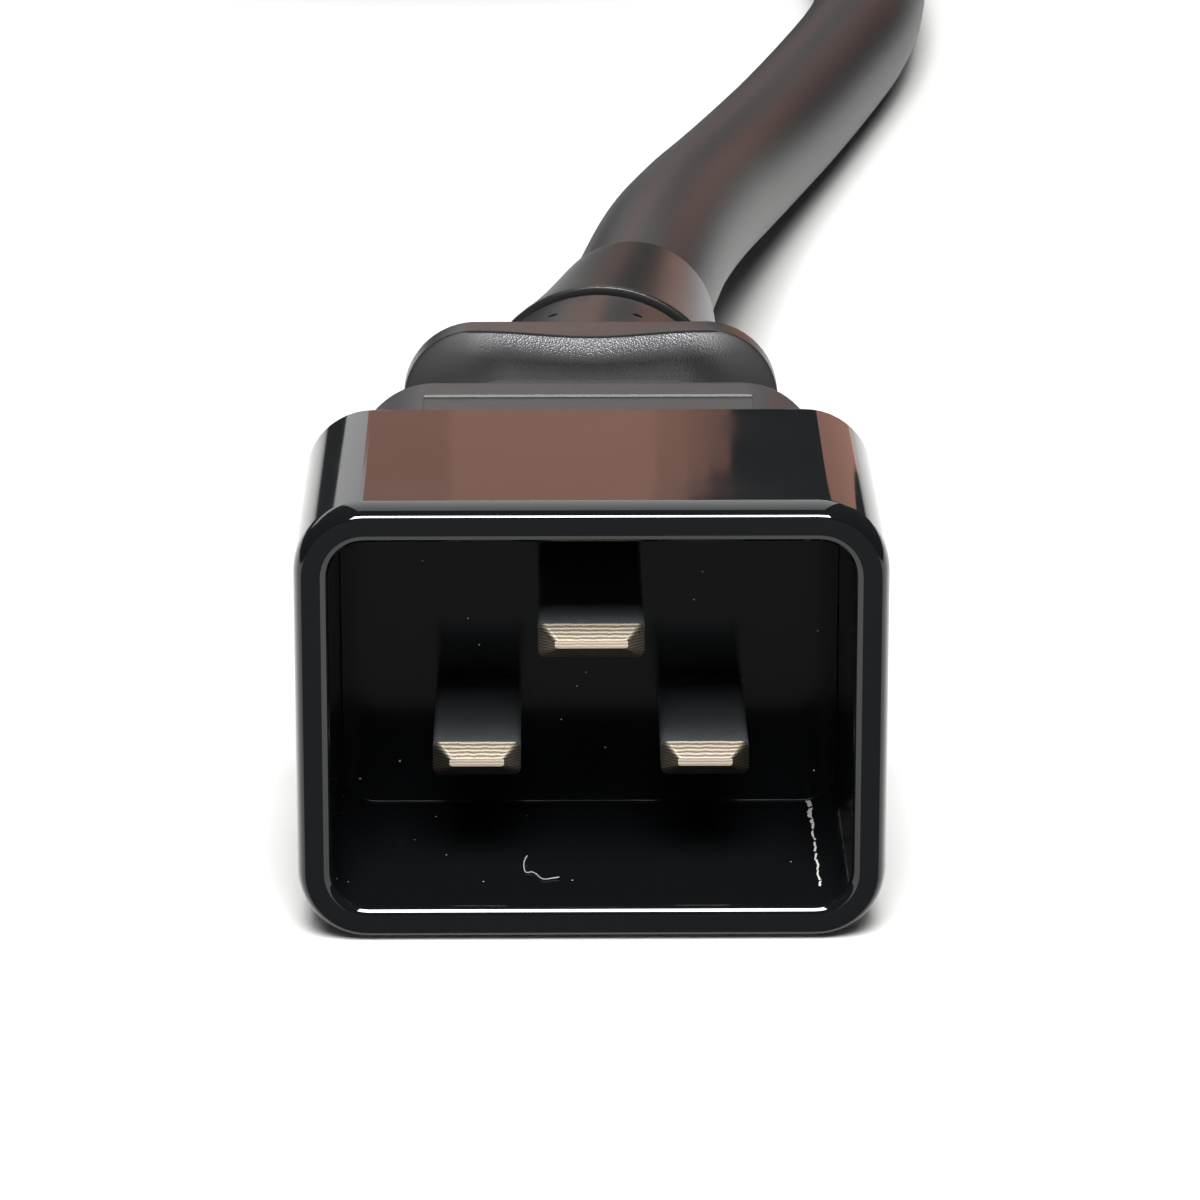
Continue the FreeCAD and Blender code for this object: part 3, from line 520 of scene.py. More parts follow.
def twisted_copper(settings):
    """Annealed copper strands twisted together: bright slanting ridges, drawn at three to the millimetre."""
    material, add, place = new_material("twisted_copper")
    strand = add("TexWave", {"Vector": place, "Scale": bands(0.35)}, bands_direction="DIAGONAL")
    bump = add("Bump", {"Height": strand.outputs["Fac"], "Strength": 0.8, "Distance": 0.1 * MM})
    shader = add("BsdfPrincipled", {
        "Base Color": (*settings.copper, 1), "Metallic": 1.0, "Roughness": 0.32, "Normal": bump})
    add("OutputMaterial", {"Surface": shader})
    return material


def toothed(name, pattern, depth, strength, inputs):
    """A material of one colour and gloss, with a fine tooth of this depth in millimetres."""
    material, add, place = new_material(name)
    tooth = add("TexNoise", {"Vector": place, **pattern})
    bump = add("Bump", {"Height": tooth, "Strength": strength, "Distance": depth * MM})
    shader = add("BsdfPrincipled", {**inputs, "Normal": bump})
    add("OutputMaterial", {"Surface": shader})
    return material


def jacket_pvc(settings):
    """Extruded PVC jacket: a soft matt black with faint powder on it."""
    return toothed("jacket_pvc", {"Scale": per(0.5), "Detail": 3.0}, 0.03, 0.4, {
        "Base Color": (*settings.jacket, 1), "Roughness": 0.42, "IOR": 1.5})


def floor_paper(settings):
    """White background paper, rolled out under the cord: matt, with a fine tooth."""
    return toothed("floor_paper", {"Scale": per(1.0), "Detail": 2.0}, 0.02, 0.05, {
        "Base Color": (*settings.floor, 1), "Roughness": 0.9})


def mottled(name, pattern, least, most, inputs):
    """A material of one colour, whose roughness drifts between two values."""
    material, add, place = new_material(name)
    drift = add("TexNoise", {"Vector": place, **pattern})
    rough = add("MapRange", {"Value": drift, "To Min": least, "To Max": most})
    shader = add("BsdfPrincipled", {**inputs, "Roughness": rough})
    add("OutputMaterial", {"Surface": shader})
    return material


def nose_abs(settings):
    """The connector's moulded ABS nose: black, and a little duller than the shroud."""
    return mottled("nose_abs", {"Scale": per(6.0), "Detail": 4.0}, 0.12, 0.3, {
        "Base Color": (*settings.plastic, 1)})


def core_pvc(name, shade):
    """Extruded PVC insulation on a core: one colour, with a soft gloss that varies along it."""
    return mottled(name, {"Scale": per(2.0), "Detail": 2.0}, 0.3, 0.5, {"Base Color": (*shade, 1)})


def spring_brass(settings):
    """Half hard brass strip, rolled, cut and folded into contacts: a warm metal with dull stains."""
    return mottled("spring_brass", {"Scale": per(1.5), "Detail": 4.0}, 0.2, 0.42, {
        "Base Color": (*settings.brass, 1), "Metallic": 1.0})


def natural_polyethylene(settings):
    """Unfilled polyethylene, moulded over the crimps: milky, with flow marks."""
    return mottled("natural_polyethylene", {"Scale": per(5.0), "Detail": 3.0, "Distortion": 1.0}, 0.35, 0.6, {
        "Base Color": (*settings.mould, 1), "Subsurface Weight": 0.1, "Subsurface Scale": MM})


def pick(piece, kind, test):
    """In edit mode, select only the verts, edges or faces that pass the test."""
    bpy.ops.mesh.select_mode(type={"verts": "VERT", "edges": "EDGE", "faces": "FACE"}[kind])
    bpy.ops.mesh.select_all(action="DESELECT")
    mesh = bmesh.from_edit_mesh(piece.data)
    for element in getattr(mesh, kind):
        element.select_set(test(element))
    mesh.select_flush_mode()
    bmesh.update_edit_mesh(piece.data)


def edge_middle(edge):
    return (edge.verts[0].co + edge.verts[1].co) / 2


def runs_along_y(edge):
    way = edge.verts[1].co - edge.verts[0].co
    return abs(way.y) > 0.99 * way.length


def lies_across(edge):
    """Whether an edge is in some plane across the axis."""
    return abs(edge.verts[1].co.y - edge.verts[0].co.y) < TINY


def lies_at(edge, y):
    """Whether an edge is in the plane across the axis at y."""
    return all(abs(vert.co.y - y) < TINY for vert in edge.verts)


def faces_front(face):
    return face.normal.y < -FRONT


def roll_edges(piece, test, radius, segments):
    """In edit mode, round the edges that pass the test."""
    pick(piece, "edges", test)
    bpy.ops.mesh.bevel(offset=radius, segments=segments, affect="EDGES")


def begin(name):
    """Take the primitive that was just added as a new piece, and open it for editing."""
    piece = bpy.context.object
    piece.name = name
    piece.data.name = name
    bpy.ops.object.transform_apply(location=True, rotation=True, scale=True)
    bpy.ops.object.mode_set(mode="EDIT")
    return piece


def apply_modifier(piece, kind, **settings):
    """Add a modifier with its settings to a piece, and apply it."""
    modifier = piece.modifiers.new(kind.lower(), kind)
    for setting, value in settings.items():
        setattr(modifier, setting, value)
    bpy.ops.object.modifier_apply(modifier=modifier.name)


def complete(piece, material, slot, *nodes):
    """Shade a piece, give it its material, and let it ride on the frame in place of its nodes."""
    bpy.ops.object.mode_set(mode="OBJECT")
    bpy.ops.object.select_all(action="DESELECT")
    piece.select_set(True)
    bpy.context.view_layer.objects.active = piece
    bpy.ops.object.shade_smooth_by_angle(angle=SMOOTH_UNDER)
    apply_modifier(piece, "WEIGHTED_NORMAL", keep_sharp=True)
    piece.data.materials.clear()
    piece.data.materials.append(material)
    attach(piece, "root")
    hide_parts(*nodes)


class CORDSET_OT_mould_shroud(bpy.types.Operator):
    """Mould the open box round the pins, with its rolled rim"""

    bl_idname = "cordset.mould_shroud"
    bl_label = "Mould Shroud"

    def execute(self, context):
        sizes = context.scene.shroud_settings
        rim = SHROUD_LOW.y
        back = PLUG_GRIP_FRONT
        size = SHROUD_HIGH - SHROUD_LOW
        bpy.ops.object.select_all(action="DESELECT")
        bpy.ops.mesh.primitive_cube_add(
            size=1, location=(SHROUD_MIDDLE.x, (rim + back) / 2, SHROUD_MIDDLE.z),
            scale=(size.x, back - rim, size.z))
        shroud = begin("shroud")
        roll_edges(shroud, runs_along_y, sizes.corner, 12)
        pick(shroud, "faces", faces_front)
        bpy.ops.mesh.inset(thickness=sizes.wall)
        bpy.ops.mesh.extrude_region_move(TRANSFORM_OT_translate={"value": (0, sizes.depth, 0)})

        def is_outer(edge):
            outward = edge_middle(edge) - SHROUD_MIDDLE
            return any(abs(face.normal.y) < 0.5 and face.normal.dot(outward) > 0 for face in edge.link_faces)

        def is_inner(edge):
            return any(abs(face.normal.y) < 0.1 for face in edge.link_faces)

        # The outer edge is rolled round, and the roll is then drawn out backwards
        roll_edges(shroud, lambda edge: lies_at(edge, rim) and is_outer(edge), sizes.outer_roll, 12)
        pick(shroud, "verts", lambda vert: rim + TINY / 10 < vert.co.y < rim + sizes.outer_roll + TINY)
        bpy.ops.transform.resize(
            value=(1, sizes.outer_run / sizes.outer_roll, 1),
            center_override=(SHROUD_MIDDLE.x, rim, SHROUD_MIDDLE.z))
        roll_edges(shroud, lambda edge: lies_at(edge, rim) and is_inner(edge), sizes.inner_roll, 8)
        roll_edges(shroud, lambda edge: lies_at(edge, back), sizes.back_roll, 4)
        roll_edges(shroud, lambda edge: lies_at(edge, rim + sizes.depth), sizes.floor_roll, 3)
        complete(shroud, polished_abs(sizes), "shroud_plastic", "plug_shroud")
        shroud.data.materials.append(cavity_abs(sizes))
        # The cavity's inside and the rim's flat front take the low-IOR material: painted shade and a painted
        # dark reflection
        reach = size / 2 - Vector((1, 0, 1)) * (sizes.wall - 0.1 * MM)
        for face in shroud.data.polygons:
            off = face.center - SHROUD_MIDDLE
            inside = abs(off.x) < reach.x and abs(off.z) < reach.z
            if face.normal.y < -RIM_FLAT or inside and rim + sizes.inner_roll < face.center.y < back - MM:
                face.material_index = 1
        return {"FINISHED"}


def model_pin(name, node, sizes):
    """A blade with a bevelled tip in front and a crimp barrel behind."""
    low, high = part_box(node)
    middle = (low + high) / 2
    width = high.x - low.x
    shank_end = PIN_BACK - sizes.bore_depth
    blade_front = low.y + sizes.tip
    bpy.ops.object.select_all(action="DESELECT")
    bpy.ops.mesh.primitive_cube_add(
        size=1, location=(middle.x, (blade_front + shank_end) / 2, middle.z),
        scale=(width, shank_end - blade_front, sizes.thickness))
    pin = begin(name)
    roll_edges(pin, runs_along_y, sizes.edge, 5)
    pick(pin, "faces", faces_front)
    bpy.ops.mesh.extrude_region_move(TRANSFORM_OT_translate={"value": (0, -sizes.tip, 0)})
    narrowed = (1 - 2 * sizes.tip_side / width, 1, 1 - 2 * sizes.tip_face / sizes.thickness)
    bpy.ops.transform.resize(value=narrowed, center_override=(middle.x, low.y, middle.z))
    roll_edges(pin, lambda edge: lies_at(edge, low.y) or lies_at(edge, blade_front), sizes.tip_edge, 2)
    barrel_front = PIN_BACK - sizes.barrel_length
    bpy.ops.mesh.primitive_cylinder_add(
        vertices=32, radius=sizes.barrel / 2, depth=sizes.barrel_length,
        location=(middle.x, (barrel_front + PIN_BACK) / 2, middle.z), rotation=(math.radians(90), 0, 0))
    pick(pin, "faces", lambda face: face.normal.y > FRONT
         and face.calc_center_median().y > PIN_BACK - 0.1 * MM)
    bpy.ops.mesh.inset(thickness=(sizes.barrel - sizes.bore) / 2)
    bpy.ops.mesh.extrude_region_move(TRANSFORM_OT_translate={"value": (0, -sizes.bore_depth, 0)})
    return pin


def coin_tip(pin, *materials):
    """Give a pin's tip its own materials: a darker copy on its four slopes and a paler copy on its end, painted
    shade and light.
    """
    for material in materials:
        pin.data.materials.append(material)
    for face in pin.data.polygons:
        if faces_front(face):
            face.material_index = 2
        elif face.normal.y < -TIP_SLOPE:
            face.material_index = 1


class CORDSET_OT_fit_pins(bpy.types.Operator):
    """Fit the earth, line and neutral pins"""

    bl_idname = "cordset.fit_pins"
    bl_label = "Fit Pins"

    def execute(self, context):
        sizes = context.scene.pin_settings
        # One coined finish in two copies, the slopes painted darker and the end paler: painted shade and light
        # for how the lamps fall
        slope = coined_brass("coined_slope", sizes.shaded_slope_pale, sizes.shaded_slope_stain)
        end = coined_brass("coined_end", sizes.lit_end_pale, sizes.lit_end_stain)
        for pole in ("earth", "line"):
            node = f"plug_{pole}_pin"
            plating = nickel_plate(f"{pole}_plating", sizes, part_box(node)[0].y + sizes.tip)
            pin = model_pin(f"{pole}_pin", node, sizes)
            complete(pin, plating, "pin_nickel", node)
            coin_tip(pin, slope, end)
        # The neutral pin is a copy of the line pin, which is still selected
        bpy.ops.object.duplicate(linked=False)
        neutral_pin = context.object
        neutral_pin.name = "neutral_pin"
        neutral_pin.data.name = "neutral_pin"
        neutral_pin.parent = None
        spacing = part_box("plug_neutral_pin")[0].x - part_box("plug_line_pin")[0].x
        neutral_pin.location = (spacing, 0, 0)
        bpy.ops.object.transform_apply(location=True, rotation=True, scale=True)
        complete(neutral_pin, plating, "pin_nickel", "plug_neutral_pin")
        coin_tip(neutral_pin, slope, end)
        return {"FINISHED"}


def hank_point(stretch, share, lane, height):
    """A control point of one lap: share is the place along a side, or the angle round a fold."""
    if stretch in (0, 2):
        side = 1 if stretch == 0 else -1
        return HANK_MIDDLE + Vector((side * lane, side * share * HANK_HALF_STRAIGHT, height))
    end = 1 if stretch == 1 else -1
    angle = math.radians(share)
    reach = lane / math.cos(math.radians(FOLD_ANGLES[0]))
    past = HANK_HALF_STRAIGHT + math.sin(angle) * reach
    return HANK_MIDDLE + Vector((end * math.cos(angle) * reach, end * past, height))


def cord_route():
    """The control points of the whole cord: the lead, the laps of the hank, and the rise to the connector."""
    route = [Vector(point) for point in LEAD_ROUTE]
    lane, height = OUTER_LANE, LOW_LAYER
    for lap in HANK_LAPS:
        for stretch, (lane_end, height_end) in enumerate(lap):
            shares = SIDE_SHARES if stretch in (0, 2) else FOLD_ANGLES
            for step, share in enumerate(shares):
                done = (step + 0.5) / len(shares)
                route.append(hank_point(
                    stretch, share, lane + (lane_end - lane) * done, height + (height_end - height) * done))
            lane, height = lane_end, height_end
    return route + [Vector(point) for point in TAIL_ROUTE]


def open_spline(name, route, resolution):
    """A curve object with one open NURBS spline, whose control points are the route."""
    curve = bpy.data.curves.new(name, "CURVE")
    curve.dimensions = "3D"
    spline = curve.splines.new("NURBS")
    spline.points.add(len(route) - 1)
    for point, place in zip(spline.points, route):
        point.co = (*place, 1.0)
    spline.order_u = 3
    spline.use_endpoint_u = True
    spline.resolution_u = resolution
    spun = bpy.data.objects.new(name, curve)
    bpy.context.collection.objects.link(spun)
    return spun


def cord_line():
    """Points along the cord's spline, from the plug to the connector."""
    guide = open_spline("cord_guide", cord_route(), 8)
    bpy.context.view_layer.update()
    mesh = bpy.data.meshes.new_from_object(guide)
    points = [vert.co.copy() for vert in mesh.vertices]
    bpy.data.meshes.remove(mesh)
    bpy.data.curves.remove(guide.data)
    return points


def along(line, distance):
    """The place and heading at this distance along a line of points."""
    left = distance
    for here, there in zip(line, line[1:]):
        step = (there - here).length
        if left <= step:
            return here.lerp(there, left / step), (there - here).normalized()
        left -= step
    raise ValueError("the line is too short")


def begin_rings(name):
    """Open a piece for editing that has no points yet, and is made of rings."""
    bpy.ops.object.select_all(action="DESELECT")
    bpy.ops.mesh.primitive_circle_add(vertices=RING_POINTS)
    piece = begin(name)
    bpy.ops.mesh.delete(type="VERT")
    return piece


def add_ring(piece, place, heading, half_width, half_height, corner):
    """In edit mode, add a ring of points across the heading: a circle whose quarters are moved apart."""
    turn = heading.to_track_quat("Z", "Y") @ Quaternion((0, 0, 1), math.pi / RING_POINTS)
    bpy.ops.mesh.primitive_circle_add(
        vertices=RING_POINTS, radius=corner, location=place, rotation=turn.to_euler())
    across = turn @ Quaternion((0, 0, 1), -math.pi / RING_POINTS)
    wide = across @ Vector((1, 0, 0))
    high = across @ Vector((0, 1, 0))
    mesh = bmesh.from_edit_mesh(piece.data)
    ring = {vert.index for vert in mesh.verts if vert.select}
    if half_width - corner < TINY and half_height - corner < TINY:
        return
    for side in (-1, 1):
        for level in (-1, 1):
            pick(piece, "verts", lambda vert: vert.index in ring and side * wide.dot(vert.co - place) > 0
                 and level * high.dot(vert.co - place) > 0)
            shift = side * (half_width - corner) * wide + level * (half_height - corner) * high
            quarter = [vert.index for vert in bmesh.from_edit_mesh(piece.data).verts if vert.select]
            bpy.ops.transform.translate(value=shift)
            ring.difference_update(quarter)


def bridge_rings(piece):
    """In edit mode, join each ring of points to the next one, and close the two ends."""
    mesh = bmesh.from_edit_mesh(piece.data)
    mesh.verts.ensure_lookup_table()
    rings = len(mesh.verts) // RING_POINTS
    for ring in range(rings - 1):
        pick(piece, "edges", lambda edge: len(edge.link_faces) < 2 and all(
            vert.index // RING_POINTS in (ring, ring + 1) for vert in edge.verts)
            and edge.verts[0].index // RING_POINTS == edge.verts[1].index // RING_POINTS)
        bpy.ops.mesh.bridge_edge_loops()
    for ring in (0, rings - 1):
        pick(piece, "edges", lambda edge: all(vert.index // RING_POINTS == ring for vert in edge.verts))
        bpy.ops.mesh.edge_face_add()
    bpy.ops.mesh.select_all(action="SELECT")
    bpy.ops.mesh.normals_make_consistent(inside=False)


def between(first, last, share):
    return [a + (b - a) * share for a, b in zip(first, last)]


def rolled(section, end, roll, steps):
    """The sections of a rolled back edge: a quarter turn inwards, up to where it ends."""
    sections = []
    for step in range(steps + 1):
        angle = math.radians(90 * step / steps)
        drawn_in = [size - roll * (1 - math.cos(angle)) for size in section]
        sections.append((end - roll + roll * math.sin(angle), drawn_in))
    return sections


def grip_sections():
    """The grip's sections from its neck to its rolled flare, each with its distance behind the neck's front."""
    sections = [(0.0, NECK), (NECK_END / 2, NECK)]
    for step in range(NECK_STEPS + 1):
        share = step / NECK_STEPS
        level = share ** 3 * (10 - 15 * share + 6 * share ** 2)
        sections.append((NECK_END + share * (WAIST_AT - NECK_END), between(NECK, WAIST, level)))
    for step in range(DISH_STEPS + 1):
        share = step / DISH_STEPS
        rise = 1 - math.sqrt(1 - (share ** 2 * math.sin(DISH_SLOPE)) ** 2)
        level = rise / (1 - math.cos(DISH_SLOPE))
        sections.append((DISH_FROM + share * (FLARE_AT - DISH_FROM), between(WAIST, FLARE, level)))
    return sections + rolled(FLARE, FLARE_END, FLARE_ROLL, FLARE_STEPS)


def bow_flare(grip, axis, neck_front, settings):
    """In edit mode, bow the middle of the flare's front edge forwards, and the dish before it."""
    dish_front = neck_front + DISH_FROM * MM
    flare_front = neck_front + FLARE_AT * MM
    flare_back = neck_front + FLARE_END * MM
    waist_top = axis.z + WAIST[1] * MM
    flare_top = axis.z + FLARE[1] * MM
    pick(grip, "edges", lambda edge: lies_across(edge) and edge.calc_length() > settings.bow_reach
         and edge_middle(edge).z > waist_top - TINY
         and dish_front - TINY < edge.verts[0].co.y < flare_back + TINY)
    bpy.ops.mesh.subdivide(number_cuts=BOW_CUTS)
    # What is hidden stays in place: the flare's rolled back and all that follows
    pick(grip, "verts", lambda vert: vert.co.y > flare_back - FLARE_ROLL * MM - TINY)
    bpy.ops.mesh.hide()
    pick(grip, "verts", lambda vert: not vert.hide and abs(vert.co.x - axis.x - settings.lean) < MM
         and vert.co.z > flare_top - settings.flare_edge
         and abs(vert.co.y - flare_front) < settings.flare_edge)
    bpy.ops.transform.translate(
        value=(0, -settings.bow, 0), use_proportional_edit=True, proportional_edit_falloff="SMOOTH",
        proportional_size=settings.bow_reach)
    bpy.ops.mesh.reveal()


def cut_marks(grip, axis, neck_front, vent_place, settings):
    """Cut the bare panel on the neck, the bevel on its rear edge, and the two mould vents behind the flare."""
    overcut = MM
    neck_top = axis.z + NECK[1] * MM
    bpy.ops.mesh.primitive_cube_add(
        size=1, location=(axis.x, neck_front + (settings.panel_length - overcut) / 2, neck_top),
        scale=(settings.panel_width, settings.panel_length + overcut, 2 * settings.panel_depth))
    cutters = [bpy.context.object]
    side = math.sqrt(2) * settings.panel_edge
    bpy.ops.mesh.primitive_cube_add(
        size=side, location=(axis.x, neck_front + settings.panel_length, neck_top),
        rotation=(math.radians(45), 0, 0))
    cutters.append(bpy.context.object)
    cutters[-1].scale.x = settings.panel_width / side
    for way in (-1, 1):
        bpy.ops.mesh.primitive_cylinder_add(
            vertices=20, radius=settings.vent / 2, depth=settings.vent_depth,
            location=vent_place + Vector((way * settings.vent_spacing / 2, 0, 0)))
        cutters.append(bpy.context.object)
    bpy.ops.object.select_all(action="DESELECT")
    grip.select_set(True)
    bpy.context.view_layer.objects.active = grip
    for cutter in cutters:
        apply_modifier(grip, "BOOLEAN", operation="DIFFERENCE", solver="EXACT", object=cutter)
        bpy.data.objects.remove(cutter)


def mould_grip(name, front, axis, line, collar, settings, radius):
    """A soft grip about an axis along Y, with the bend relief along the line of its cord."""
    sections = grip_sections()
    neck_front = front
    if collar:
        neck_front += COLLAR_LENGTH * MM
        sections[0] = (NECK_ROOT, NECK)
        sections = [(COLLAR_LENGTH + behind, section) for behind, section in sections]
        sections = [(0.0, COLLAR)] + rolled(COLLAR, COLLAR_LENGTH, COLLAR_ROLL, COLLAR_STEPS) + sections
    grip = begin_rings(name)
    for behind, section in sections:
        past_neck = (front - neck_front) / MM + behind - NECK_END
        leant = settings.lean * min(max(past_neck / (FLARE_AT - NECK_END), 0), 1)
        place = Vector((axis.x + leant, front + behind * MM, axis.z))
        add_ring(grip, place, Vector((0, 1, 0)), *[size * MM for size in section])
    for distance, wall in RELIEF:
        place, heading = along(line, distance * MM)
        outer = radius + wall * MM
        add_ring(grip, place, heading, outer, outer, outer)
    bridge_rings(grip)
    roll_edges(grip, lambda edge: lies_at(edge, neck_front + FLARE_AT * MM), settings.flare_edge, 4)
    bow_flare(grip, axis, neck_front, settings)
    bpy.ops.object.mode_set(mode="OBJECT")
    vent_place = along(line, settings.vent_at)[0] + Vector((0, 0, radius + settings.vent_over))
    cut_marks(grip, axis, neck_front, vent_place, settings)
    return grip


class CORDSET_OT_mould_grips(bpy.types.Operator):
    """Mould the soft grips of the plug and the connector"""

    bl_idname = "cordset.mould_grips"
    bl_label = "Mould Grips"

    def execute(self, context):
        settings = context.scene.grip_settings
        radius = context.scene.cord_settings.diameter / 2
        line = cord_line()
        grip = mould_grip("plug_handle", PLUG_GRIP_FRONT, SHROUD_MIDDLE, line, False, settings, radius)
        pvc = satin_pvc("plug_pvc", settings, SHROUD_MIDDLE, PLUG_GRIP_FRONT)
        complete(grip, pvc, "grip_pvc", "plug_grip")
        back_line = list(reversed(line))
        grip = mould_grip(
            "connector_handle", CONNECTOR_GRIP_FRONT, NOSE_MIDDLE, back_line, True, settings, radius)
        pvc = satin_pvc("connector_pvc", settings, NOSE_MIDDLE, CONNECTOR_GRIP_FRONT + COLLAR_LENGTH * MM)
        complete(grip, pvc, "grip_pvc", "connector_grip")
        return {"FINISHED"}


class CORDSET_OT_wrap_strap(bpy.types.Operator):
    """Wrap the strap round the turns on one side of the hank, with its end lying on its start"""

    bl_idname = "cordset.wrap_strap"
    bl_label = "Wrap Strap"

    def execute(self, context):
        settings = context.scene.cord_settings
        low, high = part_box("cord_tie")
        middle = (low + high) / 2
        half = (high - low) / 2
        strap = begin_rings("strap")
        for y in (low.y, high.y):
            place = Vector((middle.x, y, middle.z))
            add_ring(strap, place, Vector((0, 1, 0)), half.x, half.z, settings.strap_corner)
        bpy.ops.mesh.select_all(action="SELECT")
        bpy.ops.mesh.bridge_edge_loops()
        bpy.ops.mesh.normals_make_consistent(inside=False)
        bpy.ops.object.mode_set(mode="OBJECT")
        apply_modifier(strap, "SOLIDIFY", thickness=settings.strap_thickness, offset=-1)
        bpy.ops.object.mode_set(mode="EDIT")
        # The strap's end is a little narrower and thinner, and sunk into its start
        tab_width = 1.94 * half.y
        tab_thickness = 0.9 * settings.strap_thickness
        tab_rise = 0.35 * settings.strap_thickness
        bpy.ops.mesh.primitive_cube_add(
            size=1, location=(middle.x, middle.y, high.z + tab_rise),
            scale=(settings.strap_tab, tab_width, tab_thickness))
        roll_edges(strap, lambda edge: edge_middle(edge).z > high.z + 0.1 * MM, settings.strap_edge, 3)
        complete(strap, woven_nylon(settings), "tie_fabric", "cord_tie")
        return {"FINISHED"}


class CORDSET_OT_drop_lint(bpy.types.Operator):
    """Drop a thread of lint in the cavity"""

    bl_idname = "cordset.drop_lint"
    bl_label = "Drop Lint"

    def execute(self, context):
        settings = context.scene.wiring_settings
        bpy.ops.object.select_all(action="DESELECT")
        lint = open_spline("lint", [Vector(place) * MM for place in LINT_ROUTE], 4)
        lint.data.bevel_depth = settings.lint_radius
        lint.data.bevel_resolution = 1
        lint.data.use_fill_caps = True
        context.view_layer.objects.active = lint
        lint.select_set(True)
        bpy.ops.object.convert(target="MESH")
        complete(context.object, cotton_lint(settings), "tie_fabric")
        return {"FINISHED"}


def finish_nodes(material, *names):
    """Give a material to nodes that stay as the frame has them."""
    for name in names:
        for place in NODES[name].material_slots:
            place.material = material


class CORDSET_OT_finish_inside(bpy.types.Operator):
    """Finish the connector's nose and contacts, and the wiring inside the two ends"""

    bl_idname = "cordset.finish_inside"
    bl_label = "Finish Inside"

    def execute(self, context):
        settings = context.scene.wiring_settings
        finish_nodes(nose_abs(context.scene.shroud_settings), "connector_nose")
        finish_nodes(natural_polyethylene(settings), "plug_inner_mould", "connector_inner_mould")
        copper = twisted_copper(settings)
        brass = spring_brass(settings)
        for pole in ("earth", "line", "neutral"):
            insulation = core_pvc(f"{pole}_insulation", getattr(settings, pole))
            finish_nodes(insulation, f"plug_{pole}_core", f"connector_{pole}_core")
            finish_nodes(copper, f"plug_{pole}_strands", f"connector_{pole}_strands")
            finish_nodes(brass, f"connector_{pole}_contact")
        return {"FINISHED"}


class CORDSET_OT_lay_cord(bpy.types.Operator):
    """Lay the cord from the plug to its hank and on to the connector"""

    bl_idname = "cordset.lay_cord"
    bl_label = "Lay Cord"

    def execute(self, context):
        settings = context.scene.cord_settings
        cord = open_spline("cord", cord_route(), 8)
        cord.data.bevel_depth = settings.diameter / 2
        cord.data.bevel_resolution = 8
        cord.data.use_fill_caps = True
        cord.data.materials.append(jacket_pvc(settings))
        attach(cord, "root")
        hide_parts("cord_lead", "cord_hank", "cord_tail")
        return {"FINISHED"}


def add_light(name, place, aim, size, radiance, hue, glossy=True):
    """A rectangular light that faces its aim, and doesn't show to the camera itself."""
    data = bpy.data.lights.new(name, "AREA")
    data.shape = "RECTANGLE"
    data.size, data.size_y = size
    data.energy = radiance * math.pi * size[0] * size[1]
    data.color = hue
    light = bpy.data.objects.new(name, data)
    light.location = place
    light.rotation_euler = (Vector(aim) - Vector(place)).to_track_quat("-Z", "Y").to_euler()
    light.visible_camera = False
    light.visible_glossy = glossy
    bpy.context.collection.objects.link(light)


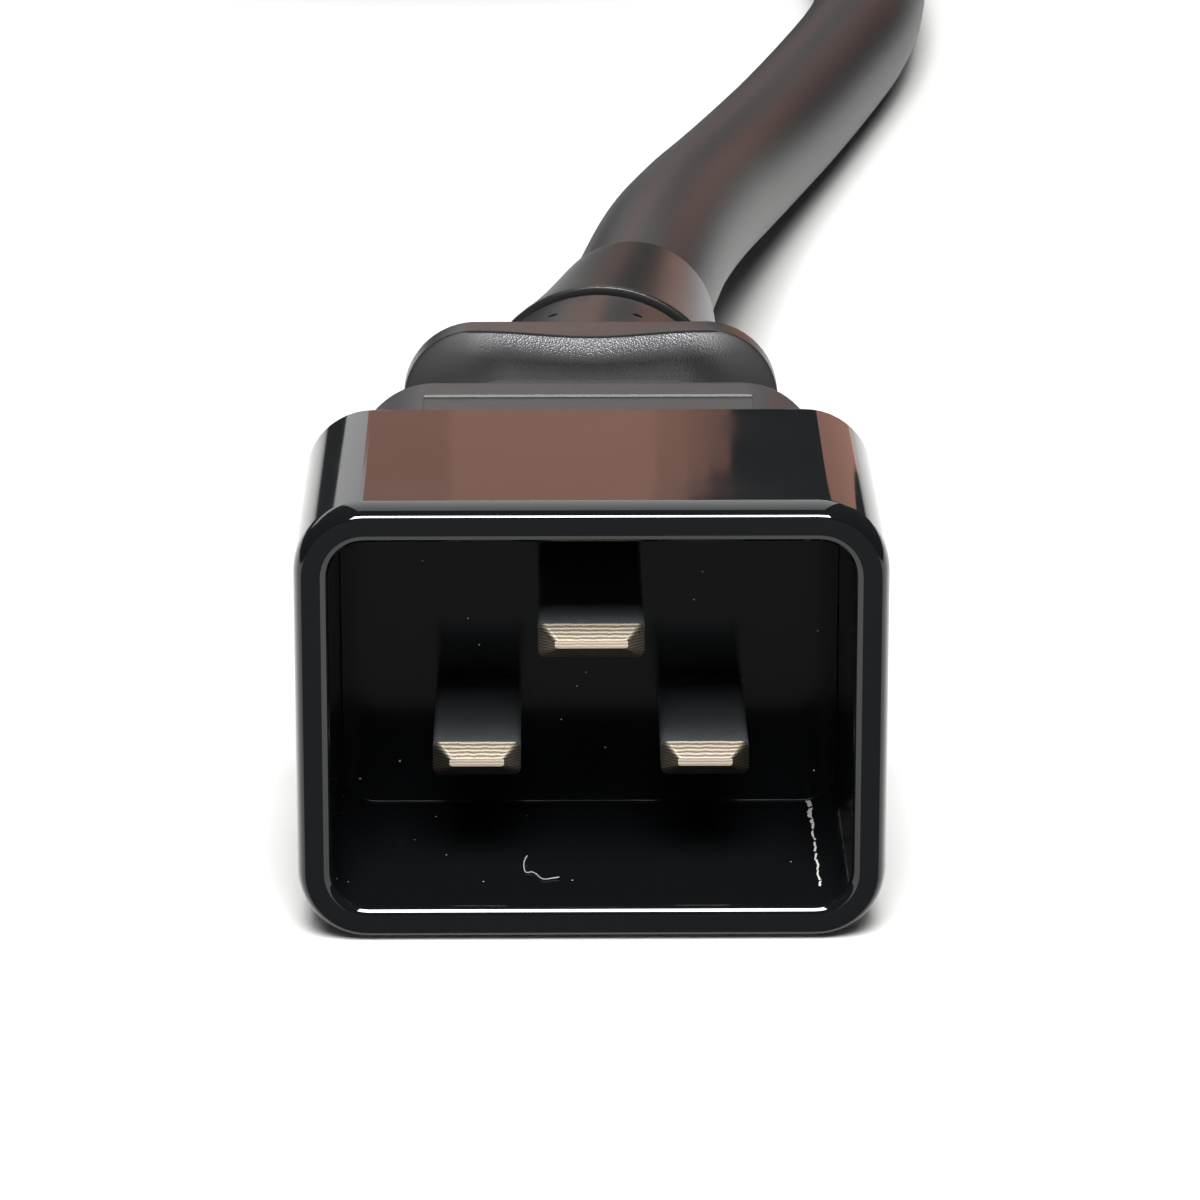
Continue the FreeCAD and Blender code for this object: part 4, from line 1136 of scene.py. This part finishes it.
class CORDSET_OT_set_stage(bpy.types.Operator):
    """Set the floor, the lights and the camera"""

    bl_idname = "cordset.set_stage"
    bl_label = "Set Stage"

    def execute(self, context):
        settings = context.scene.stage_settings
        camera = bpy.data.objects.new("camera", bpy.data.cameras.new("camera"))
        context.collection.objects.link(camera)
        camera.data.lens = settings.lens
        camera.data.sensor_width = settings.sensor
        camera.data.clip_start = settings.clip
        eye = Vector(settings.eye)
        camera.location = eye
        camera.rotation_euler = (Vector(settings.target) - eye).to_track_quat("-Z", "Y").to_euler()
        context.scene.camera = camera
        context.scene.view_settings.view_transform = "Standard"

        bpy.ops.object.select_all(action="DESELECT")
        bpy.ops.mesh.primitive_plane_add(size=settings.floor_size)
        floor = context.object
        floor.name = "floor"
        floor.data.materials.append(floor_paper(settings))

        world = bpy.data.worlds.new("studio")
        world.use_nodes = True
        world.node_tree.nodes["Background"].inputs["Color"].default_value = (*settings.room, 1)
        context.scene.world = world
        for name, (place, aim, size, radiance, glossy) in LAMPS.items():
            add_light(name, place, aim, size, radiance, settings.lamp, glossy)
        for name, ((left, low, right, high), radiance, warm) in REFLECTORS.items():
            place = Vector(((left + right) / 2, REFLECTORS_AT, (low + high) / 2))
            hue = settings.card if warm else settings.lamp
            add_light(name, place, place - Vector((0, 1, 0)), (right - left, high - low), radiance, hue)
        return {"FINISHED"}


class CORDSET_PT_panel(bpy.types.Panel):
    """The cord's pieces and sizes"""

    bl_idname = "CORDSET_PT_panel"
    bl_label = "Power Extension Cord"
    bl_space_type = "VIEW_3D"
    bl_region_type = "UI"
    bl_category = "Cord"

    def draw(self, context):
        for operator in OPERATORS:
            self.layout.operator(operator.bl_idname)
        for group, group_class in GROUPS.items():
            box = self.layout.box()
            for setting in group_class.__annotations__:
                box.prop(getattr(context.scene, group), setting)


OPERATORS = (
    CORDSET_OT_mould_shroud,
    CORDSET_OT_fit_pins,
    CORDSET_OT_drop_lint,
    CORDSET_OT_mould_grips,
    CORDSET_OT_wrap_strap,
    CORDSET_OT_finish_inside,
    CORDSET_OT_lay_cord,
    CORDSET_OT_set_stage,
)
GROUPS = {
    "shroud_settings": ShroudSettings,
    "pin_settings": PinSettings,
    "grip_settings": GripSettings,
    "cord_settings": CordSettings,
    "wiring_settings": WiringSettings,
    "stage_settings": StageSettings,
}


def register():
    for group, group_class in GROUPS.items():
        bpy.utils.register_class(group_class)
        setattr(bpy.types.Scene, group, PointerProperty(type=group_class))
    for operator in (*OPERATORS, CORDSET_PT_panel):
        bpy.utils.register_class(operator)


def unregister():
    for operator in (CORDSET_PT_panel, *reversed(OPERATORS)):
        bpy.utils.unregister_class(operator)
    for group, group_class in GROUPS.items():
        delattr(bpy.types.Scene, group)
        bpy.utils.unregister_class(group_class)


def main():
    register()
    bpy.ops.cordset.mould_shroud()
    bpy.ops.cordset.fit_pins()
    bpy.ops.cordset.drop_lint()
    bpy.ops.cordset.mould_grips()
    bpy.ops.cordset.wrap_strap()
    bpy.ops.cordset.finish_inside()
    bpy.ops.cordset.lay_cord()
    bpy.ops.cordset.set_stage()


if __name__ == "__main__":
    main()
